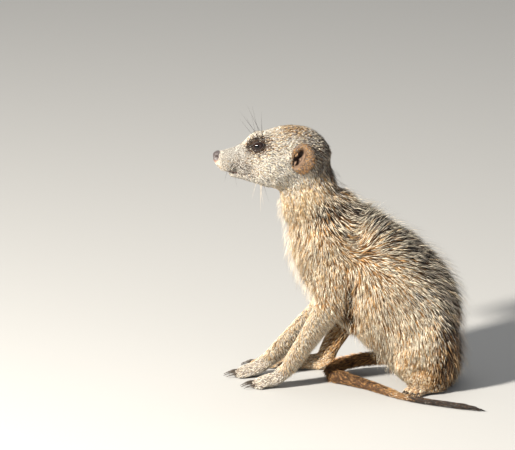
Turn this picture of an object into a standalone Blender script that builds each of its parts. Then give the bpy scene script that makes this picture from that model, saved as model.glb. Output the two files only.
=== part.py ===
"""A meerkat sitting on its haunches, as a life-size still model.

Each named node is one part of the body, as full as the coat's own outline. The frame is in
metres: +Z up, -X towards the nose, -Y on the animal's left, with the floor at Z = 0 and the origin
at the middle of the whole model's footprint. The sizes below are in millimetres, and the last step
turns them into metres.

The flesh is modelled whole: tapered tubes and egg shapes are fused, the coarse masses first and the
fine ones after, and the floor cuts the soles, rump and tail flat. Thin cuts then part it into nodes.
"""

import math

import bmesh
import bpy
import numpy as np
from mathutils import Matrix, Vector

MM = 0.001
GAP = 0.35  # the clear cut between two neighbouring parts
SIDES = {"left": -1, "right": 1}

# How finely the flesh is fused, and how many triangles it keeps
MASS_VOXEL = 2.2
MASS_PASSES = 8
FINE_VOXEL = 0.9
FINE_PASSES = 3
TRIANGLES = 2600

EYE_RADIUS = 4.6
EYE_CENTRE = (-62.6, 10.6, 175.2)
EAR_CENTRE = (-32.6, 20.4, 167.6)
EAR_RADII = (8.2, 3.6, 10.6)
EAR_DISH = (-3.0, 2.8, -1.6)  # the hollow's middle, from the ear's
EAR_DISH_RADII = (5.6, 3.4, 7.6)
EAR_LEAN = 14  # degrees, its top towards the nape

# A tube is a list of stations: x, y, z of its middle, half its depth, half its width.
TRUNK = (
    (-31, 0, 161, 20, 19),
    (-29, 0, 146, 21.5, 19.5),
    (-26.5, 0, 133.5, 24, 20.5),
    (-20, 0, 122.5, 28.5, 21.5),
    (-12, 0, 109, 34.5, 23.5),
    (-4, 0, 97.5, 38, 25.5),
    (6.8, 0, 85.2, 41.4, 27.5),
    (20, 0, 74.5, 43, 31),
    (35, 0, 63, 41, 34),
    (44, 0, 49, 38.5, 36),
    (49, 0, 33, 32.5, 36),
    (55, 0, 18, 27.5, 35),
    (59, 0, 4, 22, 30),
    (59, 0, -7, 10, 16),
)
HEAD = (
    (-94.6, 0, 163.1, 2.6, 3.2),
    (-92.4, 0, 162.9, 5.0, 5.2),
    (-88, 0, 161.9, 6.8, 6.8),
    (-80, 0, 162.2, 8.4, 9.2),
    (-72, 0, 162.9, 12.1, 12.4),
    (-68, 0, 163.6, 15.1, 14.4),
    (-63, 0, 164.5, 17.9, 16.5),
    (-55, 0, 163.9, 20.2, 19.3),
    (-45, 0, 164, 22.3, 21.6),
    (-35, 0, 164.3, 22.3, 22.0),
    (-25, 0, 163.5, 19.6, 19.8),
    (-16, 0, 162.6, 13.5, 14.6),
    (-11.5, 0, 162, 6.5, 7.5),
)
JAW = (
    (-84.4, 0, 152.6, 1.2, 2.6),
    (-82.6, 0, 152.6, 2.7, 4.6),
    (-79, 0, 152.9, 4.1, 6.4),
    (-73, 0, 153.1, 5.8, 8.6),
    (-65, 0, 152.2, 7.1, 11.4),
    (-56, 0, 150.8, 8.4, 14.0),
    (-47, 0, 150, 9.2, 15.0),
)
MUZZLE_STATIONS = 7  # of the head, sharpened again with the fine forms
EGGS = (  # side, centre and radii of the forms that swell out of the tubes; a side of 0 is both
    (0, (-50, 11.5, 157), (17, 10.5, 13)),  # cheek
    (0, (-15, 13.5, 100), (21, 13.5, 27)),  # shoulder
    (0, (24, 14, 60), (27, 21, 34)),  # flank
    (0, (60, 20, 34), (19, 22, 33)),  # haunch
    (1, (40, 25, 46), (30, 17, 24)),  # thigh of the leg whose knee is up
)
FACE_EGGS = (
    (0, (-61, 9.5, 177.7), (8, 5, 3)),  # brow
    (0, (-84, 5, 159.2), (8, 5, 5)),  # whisker pad
    (1, (-91.4, 0, 164.6), (3.8, 4.8, 3.9)),  # nose
)
ARMS = {  # from the shoulder to the palm
    "left": (
        (-14, 17, 103, 18, 9.5),
        (-12, 18.5, 84, 16, 9.5),
        (-13, 20.5, 64, 11.5, 8.8),
        (-21, 19.4, 50, 9.2, 8.0),
        (-29, 17.6, 37, 7.7, 7.0),
        (-37.6, 15.6, 23.5, 6.6, 6.2),
        (-43.5, 14.4, 14, 5.6, 6.0),
        (-50, 13.8, 7.4, 5.0, 6.6),
        (-58.5, 13.5, 4.4, 4.4, 6.9),
        (-64, 13.5, 3.6, 3.4, 6.4),
    ),
    "right": (
        (-12, 17, 103, 18, 9.5),
        (-9, 18.5, 83, 15.5, 9.5),
        (-12, 19.5, 62, 11.5, 8.8),
        (-20, 18.8, 48, 9.4, 8.0),
        (-31, 17.6, 37, 8.2, 7.0),
        (-43, 16, 26, 7.0, 6.2),
        (-54, 14.8, 15, 6.0, 6.0),
        (-62, 13.8, 7.8, 5.1, 6.6),
        (-70.5, 13.5, 4.4, 4.4, 6.9),
        (-76, 13.5, 3.6, 3.4, 6.4),
    ),
}
LEGS = {  # from the hip to the sole: the left leg is folded under, the right foot is far forward
    "left": (
        (64, 19, 42, 23, 15),
        (54, 26, 35, 19, 15),
        (44, 30, 26, 13.5, 11.5),
        (43.5, 30, 19, 11, 10),
        (51, 30, 12, 9.5, 9.5),
        (60, 27, 8.5, 8.0, 8.5),
        (66, 21, 6, 7.0, 7.0),
        (62, 24, 5.4, 6.0, 7.4),
        (56, 26.5, 4.8, 5.2, 7.8),
        (49.5, 29.5, 4.0, 4.4, 8.0),
    ),
    "right": (
        (58, 19, 44, 22, 14),
        (38, 28, 53, 19, 13),
        (17, 35, 57, 14, 11),
        (9.5, 36, 51, 12, 10),
        (1.5, 35.5, 39.5, 10, 8.6),
        (-7, 34, 26, 8.6, 7.6),
        (-14, 33, 13, 7.2, 6.8),
        (-17.5, 33, 6.2, 6.6, 6.6),
        (-33, 34.4, 4.4, 4.7, 6.8),
        (-52, 36.6, 3.8, 4.1, 6.9),
        (-62.5, 38, 3.4, 3.7, 6.9),
    ),
}
UPPER_STATIONS = 4  # of an arm or leg that are fused with the coarse masses
TAIL = (
    (68, 5, 20, 10, 11),
    (55, 9, 17.5, 8.5, 9),
    (40, 14, 15, 6.8, 7),
    (22, 18, 12.6, 5.9, 5.9),
    (5, 19, 10, 5.7, 5.7),
    (-6.5, 16.5, 7.4, 5.6, 5.6),
    (-12.6, 9.5, 5.4, 5.6, 5.6),
    (-11, 1, 4.9, 5.4, 5.4),
    (-2, -7, 4.3, 4.8, 4.8),
    (13, -19, 3.6, 4.1, 4.1),
    (26, -33, 3.1, 3.6, 3.6),
    (38, -45.5, 2.5, 3.0, 3.0),
    (52, -54.5, 2.2, 2.7, 2.7),
    (66, -61.5, 2.2, 2.7, 2.7),
    (79, -67.5, 2.1, 2.6, 2.6),
    (89, -71.3, 1.4, 1.9, 1.9),
    (94.5, -72.8, 0.6, 0.8, 0.8),
)
PAWS = {  # knuckles' middle, heading in degrees to the left of straight ahead, toe and claw lengths
    "forepaw_left": ((-61, -13.5, 3.2), 3, 7.5, 7.0),
    "forepaw_right": ((-73, 13.5, 3.2), -3, 7.5, 7.0),
    "hindpaw_left": ((47, -31, 3.4), 58, 8.0, 4.2),
    "hindpaw_right": ((-61, 37.8, 3.2), -8, 8.5, 6.0),
}
TOE_REACH = (-1.6, 0.5, 0.7, -1.0)  # how far each toe stands ahead of the others, from the left
TOE_SPACING = 3.7
TOE_RADII = (2.4, 2.7)  # across and up
TOES = 4
CLAW_RADIUS = 1.2
CLAW = (  # along its length, height over the toe's middle, thickness
    (-0.25, 0.5, 0.9),
    (0.2, 0.7, 1.0),
    (0.65, -0.3, 0.7),
    (1.0, -1.7, 0.25),
)


# Where the thin cuts part the trunk, head and tail: a point on the cut and the way to the part
NECK_TOP = ((-28, 0, 148.5), (-0.46, 0, 0.89))
NECK_FOOT = ((-18.5, 0, 127.5), (-0.28, 0, 0.96))
CHEST_END = ((4, 0, 88), (-0.62, 0, 0.78))
RUMP_START = ((44, 0, 47), (0.25, 0, -0.97))
TAIL_TIP_START = ((42, -48, 2), (0.84, -0.54, 0))
FLOOR_BLOCK = ((-300, -300, -100), (300, 300, 0))  # everything under the floor

# Boxes from a low to a high corner
TAIL_BASE_BOX = ((-60, -1, -60), (100, 60, 60))
JAW_BOX = ((-120, -40, 100), (-56, 40, 154.4))
RIGHT_FOOT_BOX = ((-130, 24, -20), (-5, 60, 10.5))

# Egg-shaped regions: centre and radii
NOSE_EGG = ((-94.6, 0, 165.2), (5.6, 6.4, 4.6))
LEFT_SHIN_EGG = ((47, 30, 15.5), (18.5, 13.5, 17))
RIGHT_THIGH_EGG = ((40, 36, 48), (48, 24, 32))
LEFT_THIGH_EGG = ((56, 25, 34.5), (29, 20, 37))
LEFT_THIGH_TILT = 8  # degrees
TAIL_EASE, PAW_EASE, SHIN_EASE = 0.8, 1.5, 3  # how far a sleeve stands clear of its tube

# Where the thin cuts cross the forelegs
SHOULDER_END = (-17, 15, 119, 8, 5)
WRISTS = {"left": (-44.5, 14, 13), "right": (-55.5, 14, 13)}
WRIST_WAY = (-0.6, 0, -0.8)
ELBOWS = {"left": (-15, 20, 60), "right": (-14, 19, 58)}
ELBOW_WAY = (-0.5, 0, -0.87)

# Colour and roughness of each kind of node
COAT_FINISH = ((0.46, 0.35, 0.22), 0.85)
FINISHES = {
    "head": ((0.60, 0.51, 0.39), 0.85),
    "lower_jaw": ((0.62, 0.55, 0.45), 0.85),
    "neck": ((0.55, 0.44, 0.30), 0.85),
    "nose": ((0.06, 0.045, 0.04), 0.5),
    "eye": ((0.012, 0.008, 0.006), 0.1),
    "ear": ((0.20, 0.13, 0.09), 0.8),
    "forearm": ((0.60, 0.53, 0.43), 0.85),
    "forepaw": ((0.60, 0.53, 0.43), 0.85),
    "hindpaw": ((0.66, 0.52, 0.33), 0.85),
    "shin": ((0.66, 0.50, 0.30), 0.85),
    "tail_tip": ((0.05, 0.035, 0.025), 0.85),
    "foreclaw": ((0.03, 0.025, 0.022), 0.4),
    "hindclaw": ((0.03, 0.025, 0.022), 0.4),
}


def clear_scene():
    for obj in list(bpy.data.objects):
        bpy.data.objects.remove(obj, do_unlink=True)


def smooth_rows(stations, steps):
    """Points on a smooth curve through the stations, with their half depths and half widths."""
    rows = np.array(stations, dtype=float)
    rows = np.vstack([2 * rows[0] - rows[1], rows, 2 * rows[-1] - rows[-2]])
    points = []
    for a, b, c, d in zip(rows[:-3], rows[1:-2], rows[2:-1], rows[3:]):
        for t in np.arange(steps) / steps:
            bend = (2 * a - 5 * b + 4 * c - d) * t**2 + (3 * b - a - 3 * c + d) * t**3
            points.append(b + 0.5 * ((c - a) * t + bend))
    points.append(rows[-2])
    return np.array(points)


def add_tube(flesh, stations, side=1, upright=False, steps=4, sides=24):
    """A tapered tube with oval sections. An upright one keeps its depth towards +Z.

    Its sides are triangles, so that a tube and a slightly wider one bend in the same places."""
    rows = smooth_rows(stations, steps)
    rows[:, 1] *= side
    tangents = np.gradient(rows[:, :3], axis=0)
    rings = []
    for (x, y, z, depth, width), tangent in zip(rows, tangents):
        along = Vector(tangent).normalized()
        if upright:
            deep = (Vector((0, 0, 1)) - along * along.z).normalized()
            wide = deep.cross(along)
        else:
            wide = (Vector((0, 1, 0)) - along * along.y).normalized()
            deep = along.cross(wide)
        ring = []
        for turn in np.linspace(0, 2 * math.pi, sides, endpoint=False):
            offset = deep * (max(depth, 0.3) * math.cos(turn)) + wide * (max(width, 0.3) * math.sin(turn))
            ring.append(flesh.verts.new(Vector((x, y, z)) + offset))
        rings.append(ring)
    for ring, following in zip(rings, rings[1:]):
        for i in range(sides):
            j = (i + 1) % sides
            flesh.faces.new((ring[i], ring[j], following[j]))
            flesh.faces.new((ring[i], following[j], following[i]))
    flesh.faces.new(rings[0])
    flesh.faces.new(rings[-1])


def add_eggs(flesh, eggs):
    for side, centre, radii in eggs:
        for place in (side,) if side else SIDES.values():
            add_egg(flesh, mirrored(centre, place), radii)


def add_egg(flesh, centre, radii, turn=Matrix(), segments=24):
    place = Matrix.Translation(centre) @ turn @ Matrix.Diagonal((*radii, 1))
    rings = segments // 2
    return bmesh.ops.create_uvsphere(flesh, u_segments=segments, v_segments=rings, radius=1, matrix=place)


def mirrored(point, side):
    return Vector((point[0], point[1] * side, point[2]))


def make_object(name, shape):
    """A mesh object of a bmesh, with its faces turned outwards."""
    bmesh.ops.recalc_face_normals(shape, faces=shape.faces)
    mesh = bpy.data.meshes.new(name)
    shape.to_mesh(mesh)
    shape.free()
    obj = bpy.data.objects.new(name, mesh)
    bpy.context.scene.collection.objects.link(obj)
    return obj


def apply_modifiers(obj):
    evaluated = obj.evaluated_get(bpy.context.evaluated_depsgraph_get())
    mesh = bpy.data.meshes.new_from_object(evaluated)
    obj.modifiers.clear()
    obj.data = mesh


def fuse(name, flesh, voxel, passes):
    """One closed skin round everything in the bmesh, with its creases eased."""
    obj = make_object(name, flesh)
    remesh = obj.modifiers.new("Fuse", "REMESH")
    remesh.mode = "VOXEL"
    remesh.voxel_size = voxel
    ease = obj.modifiers.new("Ease", "SMOOTH")
    ease.factor = 0.5
    ease.iterations = passes
    apply_modifiers(obj)
    return obj


def heading(paw):
    """The way that a paw points, and its turn about +Z."""
    angle = math.radians(PAWS[paw][1])
    turn = Matrix.Rotation(angle, 4, "Z")
    return turn @ Vector((-1, 0, 0)), turn


def toe_tips(paw):
    """Where each toe of a paw ends."""
    knuckles, _, length, _ = PAWS[paw]
    ahead, turn = heading(paw)
    across = turn @ Vector((0, 1, 0))
    tips = []
    for i in range(TOES):
        tip = Vector(knuckles) + across * (i - 1.5) * TOE_SPACING + ahead * (length + TOE_REACH[i])
        tips.append(Vector((tip.x, tip.y, 2.6)))
    return tips


def add_toes(flesh, paw):
    length = PAWS[paw][2]
    ahead, turn = heading(paw)
    for tip in toe_tips(paw):
        add_egg(flesh, tip - ahead * length * 0.62, (length * 0.62, *TOE_RADII), turn, 16)


def model_flesh():
    """The whole body's outer form, except the eyes, ears and claws."""
    masses = bmesh.new()
    add_tube(masses, TRUNK)
    add_tube(masses, HEAD)
    add_eggs(masses, EGGS)
    for name, side in SIDES.items():
        add_tube(masses, ARMS[name][:UPPER_STATIONS], side)
        add_tube(masses, LEGS[name][:UPPER_STATIONS], side)
    body = fuse("masses", masses, MASS_VOXEL, MASS_PASSES)
    flesh = bmesh.new()
    flesh.from_mesh(body.data)
    bpy.data.objects.remove(body)
    add_tube(flesh, HEAD[:MUZZLE_STATIONS])
    add_tube(flesh, JAW)
    add_tube(flesh, TAIL, upright=True)
    add_eggs(flesh, FACE_EGGS)
    for name, side in SIDES.items():
        add_tube(flesh, ARMS[name][1:], side)
        add_tube(flesh, LEGS[name][1:], side)
    for paw in PAWS:
        add_toes(flesh, paw)
    return fuse("flesh", flesh, FINE_VOXEL, FINE_PASSES)


def take(body, name, region):
    """Part a node from the body with the region's surface, leaving a thin gap between them."""
    part = body.copy()
    part.data = body.data.copy()
    part.name = name
    bpy.context.scene.collection.objects.link(part)
    cut(part, region(0), "INTERSECT")
    cut(body, region(GAP), "DIFFERENCE")
    return part


def drop_crumbs(obj):
    """Keep only the largest of an object's separate pieces."""
    shape = bmesh.new()
    shape.from_mesh(obj.data)
    left = set(shape.verts)
    pieces = []
    while left:
        piece = {left.pop()}
        edge = list(piece)
        while edge:
            near = {link.other_vert(vert) for vert in edge for link in vert.link_edges}
            edge = list(near & left)
            piece.update(edge)
            left.difference_update(edge)
        pieces.append(piece)
    pieces.sort(key=len)
    for piece in pieces[:-1]:
        bmesh.ops.delete(shape, geom=list(piece), context="VERTS")
    shape.to_mesh(obj.data)
    shape.free()


def cut(obj, cutter, operation):
    """Cut an object with a cutter that is used up."""
    boolean = obj.modifiers.new("Cut", "BOOLEAN")
    boolean.operation = operation
    boolean.solver = "EXACT"
    boolean.object = cutter
    apply_modifiers(obj)
    drop_crumbs(obj)
    bpy.data.objects.remove(cutter)


def egg(centre, radii, side=1, tilt=0, segments=12):
    """A region inside an egg shape, tilted in degrees about the line from side to side."""

    def region(grow):
        shape = bmesh.new()
        turn = Matrix.Rotation(math.radians(tilt), 4, "Y")
        add_egg(shape, mirrored(centre, side), [radius + grow for radius in radii], turn, segments)
        return make_object("cutter", shape)

    return region


def sleeve(stations, side=1, upright=False, ease=2.5):
    """A region round a tube's stations, clear of the tube by the ease."""

    def region(grow):
        shape = bmesh.new()
        wider = [(x, y, z, depth + ease + grow, width + ease + grow) for x, y, z, depth, width in stations]
        for end, inner in ((0, 1), (-1, -2)):
            middle = Vector(wider[end][:3])
            middle += (middle - Vector(wider[inner][:3])).normalized() * grow
            wider[end] = (*middle, *wider[end][3:])
        add_tube(shape, wider, side, upright, steps=1, sides=10)
        return make_object("cutter", shape)

    return region


def beyond(point, normal, reach=300):
    """The region on the far side of a plane, the way that its normal points."""

    def region(grow):
        shape = bmesh.new()
        facing = Vector(normal).normalized()
        middle = Vector(point) + facing * (reach / 2 - grow)
        turn = facing.to_track_quat("Z", "Y").to_matrix().to_4x4()
        bmesh.ops.create_cube(shape, size=reach, matrix=Matrix.Translation(middle) @ turn)
        return make_object("cutter", shape)

    return region


def block(low, high):
    """A box region between two corners."""

    def region(grow):
        shape = bmesh.new()
        middle = (Vector(low) + Vector(high)) / 2
        size = Vector(high) - Vector(low) + Vector((2, 2, 2)) * grow
        place = Matrix.Translation(middle) @ Matrix.Diagonal((*size, 1))
        bmesh.ops.create_cube(shape, size=1, matrix=place)
        return make_object("cutter", shape)

    return region


def model_eyes(head):
    """Round eyes in sockets, so that a shallow cap of each shows."""
    eyes = []
    for name, side in SIDES.items():
        shape = bmesh.new()
        add_egg(shape, mirrored(EYE_CENTRE, side), [EYE_RADIUS] * 3, segments=12)
        eyes.append(make_object(f"eye_{name}", shape))
        cut(head, egg(EYE_CENTRE, [EYE_RADIUS] * 3, side)(GAP), "DIFFERENCE")
    return eyes


def model_ears(head):
    """Small round ears low on the sides of the head, each hollowed like a shell."""
    ears = []
    for name, side in SIDES.items():
        ear = egg(EAR_CENTRE, EAR_RADII, side, EAR_LEAN)(0)
        ear.name = f"ear_{name}"
        hollow = Vector(EAR_CENTRE) + Vector(EAR_DISH)
        cut(ear, egg(hollow, EAR_DISH_RADII, side, EAR_LEAN, 10)(0), "DIFFERENCE")
        cut(head, egg(EAR_CENTRE, EAR_RADII, side, EAR_LEAN)(GAP), "DIFFERENCE")
        ears.append(ear)
    return ears


def claw_stations(tip, ahead, length, grow=0):
    """A claw from inside its toe, over its tip and down towards the floor."""
    stations = []
    for reach, height, thickness in CLAW:
        middle = tip + ahead * length * reach
        radius = CLAW_RADIUS * thickness + grow
        stations.append((middle.x, middle.y, middle.z + height, radius, radius * 0.8))
    return stations


def model_claws(paws):
    """Four curved claws on each paw, set into the ends of its toes."""
    claws = []
    for name, paw in paws.items():
        length = PAWS[name][3]
        ahead = heading(name)[0]
        for i, tip in enumerate(toe_tips(name)):
            for target, grow in (("claw", 0), ("pocket", GAP)):
                shape = bmesh.new()
                add_tube(shape, claw_stations(tip, ahead, length, grow), upright=True, steps=1, sides=5)
                tool = make_object(target, shape)
                if target == "claw":
                    tool.name = name.replace("paw", "claw") + f"_{i + 1}"
                    claws.append(tool)
                else:
                    cut(paw, tool, "DIFFERENCE")
    return claws


def paw_end(paw):
    """A last station for a sleeve, ahead of the paw's toes."""
    knuckles, _, length, _ = PAWS[paw]
    end = Vector(knuckles) + heading(paw)[0] * (length + 6)
    return (end.x, abs(end.y), end.z, 7, 9)


def part_body(body):
    """Part the body's nodes from it, one after another; the middle of the trunk is what stays."""
    parts = {}

    def part(name, region, source=body):
        parts[name] = take(source, name, region)
        return parts[name]

    tail = part("tail_middle", sleeve(TAIL[1:], upright=True, ease=TAIL_EASE))
    part("tail_base", block(*TAIL_BASE_BOX), tail)
    part("tail_tip", beyond(*TAIL_TIP_START), tail)
    head = part("head", beyond(*NECK_TOP))
    part("lower_jaw", block(*JAW_BOX), head)
    part("nose", egg(*NOSE_EGG), head)
    part("neck", beyond(*NECK_FOOT))
    for name, side in SIDES.items():
        stations = (SHOULDER_END, *ARMS[name], paw_end(f"forepaw_{name}"))
        arm = part(f"upper_arm_{name}", sleeve(stations, side))
        part(f"forepaw_{name}", beyond(mirrored(WRISTS[name], side), WRIST_WAY), arm)
        part(f"forearm_{name}", beyond(mirrored(ELBOWS[name], side), ELBOW_WAY), arm)
    part("hindpaw_right", block(*RIGHT_FOOT_BOX))
    part("hindpaw_left", sleeve((*LEGS["left"][6:], paw_end("hindpaw_left")), -1, ease=PAW_EASE))
    part("shin_right", sleeve(LEGS["right"][3:8], 1, ease=SHIN_EASE))
    part("shin_left", egg(*LEFT_SHIN_EGG, -1))
    part("thigh_right", egg(*RIGHT_THIGH_EGG))
    part("thigh_left", egg(*LEFT_THIGH_EGG, -1, LEFT_THIGH_TILT))
    part("trunk_front", beyond(*CHEST_END))
    part("trunk_rear", beyond(*RUMP_START))
    parts["trunk_middle"] = body
    body.name = "trunk_middle"
    return parts


def colour_node(obj, colour, roughness):
    material = bpy.data.materials.new(f"{obj.name}_finish")
    material.use_nodes = True
    surface = material.node_tree.nodes["Principled BSDF"]
    surface.inputs["Base Color"].default_value = (*colour, 1)
    surface.inputs["Roughness"].default_value = roughness
    surface.inputs["Metallic"].default_value = 0
    obj.data.materials.clear()
    obj.data.materials.append(material)


def finish_for(name):
    """The colour and roughness of a node, by the kind of part it is."""
    for kind, finish in FINISHES.items():
        if name.startswith(kind):
            return finish
    return COAT_FINISH


def set_down(nodes):
    """Turn the nodes into metres, with the middle of their footprint at the origin."""
    group = bpy.data.collections.new("meerkat")
    bpy.context.scene.collection.children.link(group)
    stand = bpy.data.objects.new("meerkat", None)
    group.objects.link(stand)
    corners = np.array([corner for obj in nodes for corner in obj.bound_box])
    low, high = corners.min(axis=0), corners.max(axis=0)
    foot = Vector(((low[0] + high[0]) / 2, (low[1] + high[1]) / 2, low[2]))
    for obj in nodes:
        box = np.array(obj.bound_box)
        middle = Vector((box.min(axis=0) + box.max(axis=0)) / 2)
        obj.data.transform(Matrix.Scale(MM, 4) @ Matrix.Translation(-middle))
        obj.location = (middle - foot) * MM
        obj.parent = stand
        for collection in list(obj.users_collection):
            collection.objects.unlink(obj)
        group.objects.link(obj)
        colour_node(obj, *finish_for(obj.name))


def main():
    clear_scene()
    body = model_flesh()
    thin = body.modifiers.new("Thin", "DECIMATE")
    thin.ratio = TRIANGLES / (2 * len(body.data.polygons))
    apply_modifiers(body)
    cut(body, block(*FLOOR_BLOCK)(0), "DIFFERENCE")
    eyes_and_ears = model_eyes(body) + model_ears(body)
    parts = part_body(body)
    claws = model_claws({name: parts[name] for name in PAWS})
    set_down([*parts.values(), *eyes_and_ears, *claws])


main()
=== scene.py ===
import math

import bmesh
import bpy
import numpy as np
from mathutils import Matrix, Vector
from mathutils.bvhtree import BVHTree
from mathutils.kdtree import KDTree


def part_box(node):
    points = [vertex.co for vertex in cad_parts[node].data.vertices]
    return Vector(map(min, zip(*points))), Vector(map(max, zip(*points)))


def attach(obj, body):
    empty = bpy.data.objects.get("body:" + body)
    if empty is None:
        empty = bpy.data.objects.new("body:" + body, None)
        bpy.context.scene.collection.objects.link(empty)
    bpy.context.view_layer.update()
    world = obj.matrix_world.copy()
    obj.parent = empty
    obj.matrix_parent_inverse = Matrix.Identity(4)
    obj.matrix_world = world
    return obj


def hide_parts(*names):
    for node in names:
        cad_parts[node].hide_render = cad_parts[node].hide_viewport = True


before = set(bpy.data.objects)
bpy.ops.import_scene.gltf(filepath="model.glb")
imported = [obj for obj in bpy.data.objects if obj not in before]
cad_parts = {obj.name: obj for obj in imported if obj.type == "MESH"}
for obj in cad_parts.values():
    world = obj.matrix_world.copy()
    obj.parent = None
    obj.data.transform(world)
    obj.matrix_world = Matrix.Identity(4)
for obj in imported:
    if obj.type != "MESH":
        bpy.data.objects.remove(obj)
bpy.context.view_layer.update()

MM = 0.001
MIDDLE = 13.5  # y of the plane that halves the animal


# ---- Floor, light and camera -----------------------------------------------
# A plain pale studio floor, a small strong key light from the animal's front
# left, and two broad weak lights, from its rear left and from above.
def show(name, data):
    """A new object of that name, in the scene."""
    thing = bpy.data.objects.new(name, data)
    bpy.context.scene.collection.objects.link(thing)
    return thing


def settled(name, body):
    """A new object made from a finished bmesh body."""
    mesh = bpy.data.meshes.new(name)
    body.to_mesh(mesh)
    body.free()
    return show(name, mesh)


def arrange(name, data, place, aim):
    """A lamp or a camera at one place, turned to look at another."""
    thing = show(name, data)
    thing.location = place
    thing.rotation_euler = (Vector(aim) - Vector(place)).to_track_quat("-Z", "Y").to_euler()
    return thing


def new_material(name, roughness=0.5, specular=0.5):
    """A material and its Principled shader."""
    material = bpy.data.materials.new(name)
    material.use_nodes = True
    shader = material.node_tree.nodes["Principled BSDF"]
    shader.inputs["Roughness"].default_value = roughness
    shader.inputs["Specular IOR Level"].default_value = specular
    return material, shader


SQUARE = ((-1, -1), (1, -1), (1, 1), (-1, 1))
FLOOR_REACH, FLOOR_DROP = 9.0, 0.0001  # metres
floor_mesh = bpy.data.meshes.new("floor")
floor_corners = [(x * FLOOR_REACH, y * FLOOR_REACH, -FLOOR_DROP) for x, y in SQUARE]
floor_mesh.from_pydata(floor_corners, [], [(0, 1, 2, 3)])
floor = show("floor", floor_mesh)
floor_paint, shader = new_material("floor_paint", 0.85)
shader.inputs["Base Color"].default_value = (0.38, 0.376, 0.364, 1)
floor_mesh.materials.append(floor_paint)

studio = bpy.data.worlds.new("studio")
studio.use_nodes = True
sky = studio.node_tree.nodes["Background"].inputs
sky["Color"].default_value = (0.90, 0.94, 1.0, 1)
sky["Strength"].default_value = 0.28
bpy.context.scene.world = studio
bpy.context.scene.view_settings.view_transform = "Standard"

LAMP_AIM = (0, 0.0135, 0.09)
LAMPS = (  # name, place, size in metres, watts, colour
    ("key", (-1.35, -1.2, 1.15), 0.18, 158, (1.0, 0.95, 0.87)),
    ("fill", (0.9, -1.8, 0.9), 1.6, 8, (0.94, 0.96, 1.0)),
    ("top", (0.1, 0.5, 1.9), 1.2, 10, (1.0, 0.98, 0.95)),
)
for lamp_name, place, size, watts, tint in LAMPS:
    lamp = bpy.data.lights.new(lamp_name, "AREA")
    lamp.size = size
    lamp.energy = watts
    lamp.color = tint
    arrange(lamp_name, lamp, place, LAMP_AIM)

CAMERA_DISTANCE = 4.0
CAMERA_HEIGHT_ANGLE = math.radians(15)
FIELD_WIDTH = 0.3605  # metres across the view at the animal
SENSOR_WIDTH = 36
CAMERA_AIM = Vector((-0.0638, 0.0135, 0.1145))
camera_data = bpy.data.cameras.new("camera")
camera_data.sensor_width = SENSOR_WIDTH
camera_data.lens = SENSOR_WIDTH * CAMERA_DISTANCE / FIELD_WIDTH
camera_data.clip_end = 60
towards = Vector((0, -math.cos(CAMERA_HEIGHT_ANGLE), math.sin(CAMERA_HEIGHT_ANGLE)))
camera = arrange("camera", camera_data, CAMERA_AIM + towards * CAMERA_DISTANCE, CAMERA_AIM)
bpy.context.scene.camera = camera


# ---- Skin ------------------------------------------------------------------
# One continuous hide over head, trunk, limbs and tail, drawn from the solids
# with their joints smoothed away and set in by the depth of the coat.
SKIN_CELL = 1.2  # mm, the spacing of the hide's mesh
SEAM_SWELL = 0.28  # mm, closes the thin cuts between solids
SAME_POINT = 0.004  # mm, points closer than this are one
EYE_NODES = ("eye_left", "eye_right")
EAR_NODES = ("ear_left", "ear_right")
FLESH = [n for n in sorted(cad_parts) if "claw" not in n and n not in EYE_NODES + EAR_NODES]
COAT_DEPTH = {  # mm of coat over the hide
    "nose": 0.1, "head": 1.5, "jaw": 0.9, "neck": 3.6, "trunk": 4.6, "arm": 3.2, "forearm": 1.5,
    "forepaw": 0.6, "thigh": 3.4, "shin": 1.8, "hindpaw": 0.6, "tail_base": 2.4,
    "tail_middle": 1.3, "tail_tip": 0.9,
}
GROUPS = tuple(COAT_DEPTH)
GROUP_OF = {"lower_jaw": "jaw", "upper_arm": "arm", "eye": "head"}
GROUP_OF.update({f"trunk_{part}": "trunk" for part in ("front", "middle", "rear")})


def read(items, key, width, kind=float):
    """One property of every point, edge or corner, a row of numbers for each."""
    flat = np.empty(len(items) * width, kind)
    items.foreach_get(key, flat)
    return flat.reshape(-1, width)


points, faces, face_groups = [], [], []
for node in FLESH + list(EYE_NODES):
    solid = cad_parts[node].data
    plain = node.replace("_left", "").replace("_right", "")
    start = sum(len(p) for p in points)
    points.append(read(solid.vertices, "co", 3) / MM)
    faces += [tuple(i + start for i in p.vertices) for p in solid.polygons]
    face_groups += [GROUPS.index(GROUP_OF.get(plain, plain))] * len(solid.polygons)
points = np.concatenate(points)
nearest_solid = BVHTree.FromPolygons(points.tolist(), faces)

shell = bmesh.new()
for p in points:
    shell.verts.new(p)
shell.verts.ensure_lookup_table()
for ring in faces:
    if len(set(ring)) > 2:
        shell.faces.new([shell.verts[i] for i in ring])
bmesh.ops.remove_doubles(shell, verts=shell.verts, dist=SAME_POINT)
bmesh.ops.recalc_face_normals(shell, faces=shell.faces)
shell.normal_update()
for v in shell.verts:
    v.co = v.co + v.normal * SEAM_SWELL
shell_object = settled("shell", shell)
voxels = shell_object.modifiers.new("voxels", "REMESH")
voxels.mode = "VOXEL"
voxels.voxel_size = SKIN_CELL
bpy.context.view_layer.update()
hide_mesh = bpy.data.meshes.new_from_object(shell_object.evaluated_get(bpy.context.evaluated_depsgraph_get()))
bpy.data.objects.remove(shell_object)

# Finer cells over the face, and finest round the eyes and the nose.
EYES = {"left": np.array((-62.9, 2.9, 173.9)), "right": np.array((-62.9, 24.1, 173.9))}
EYE_RADIUS = 4.6
NOSE = np.array((-92.0, MIDDLE, 164.4))
FACE_REAR, FACE_FOOT = -48, 140  # the face lies ahead of this x and above this z
EYE_FINE, NOSE_FINE = 8.5, 6.5  # mm round the eyes and the nose
hide = bmesh.new()
hide.from_mesh(hide_mesh)


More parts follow.
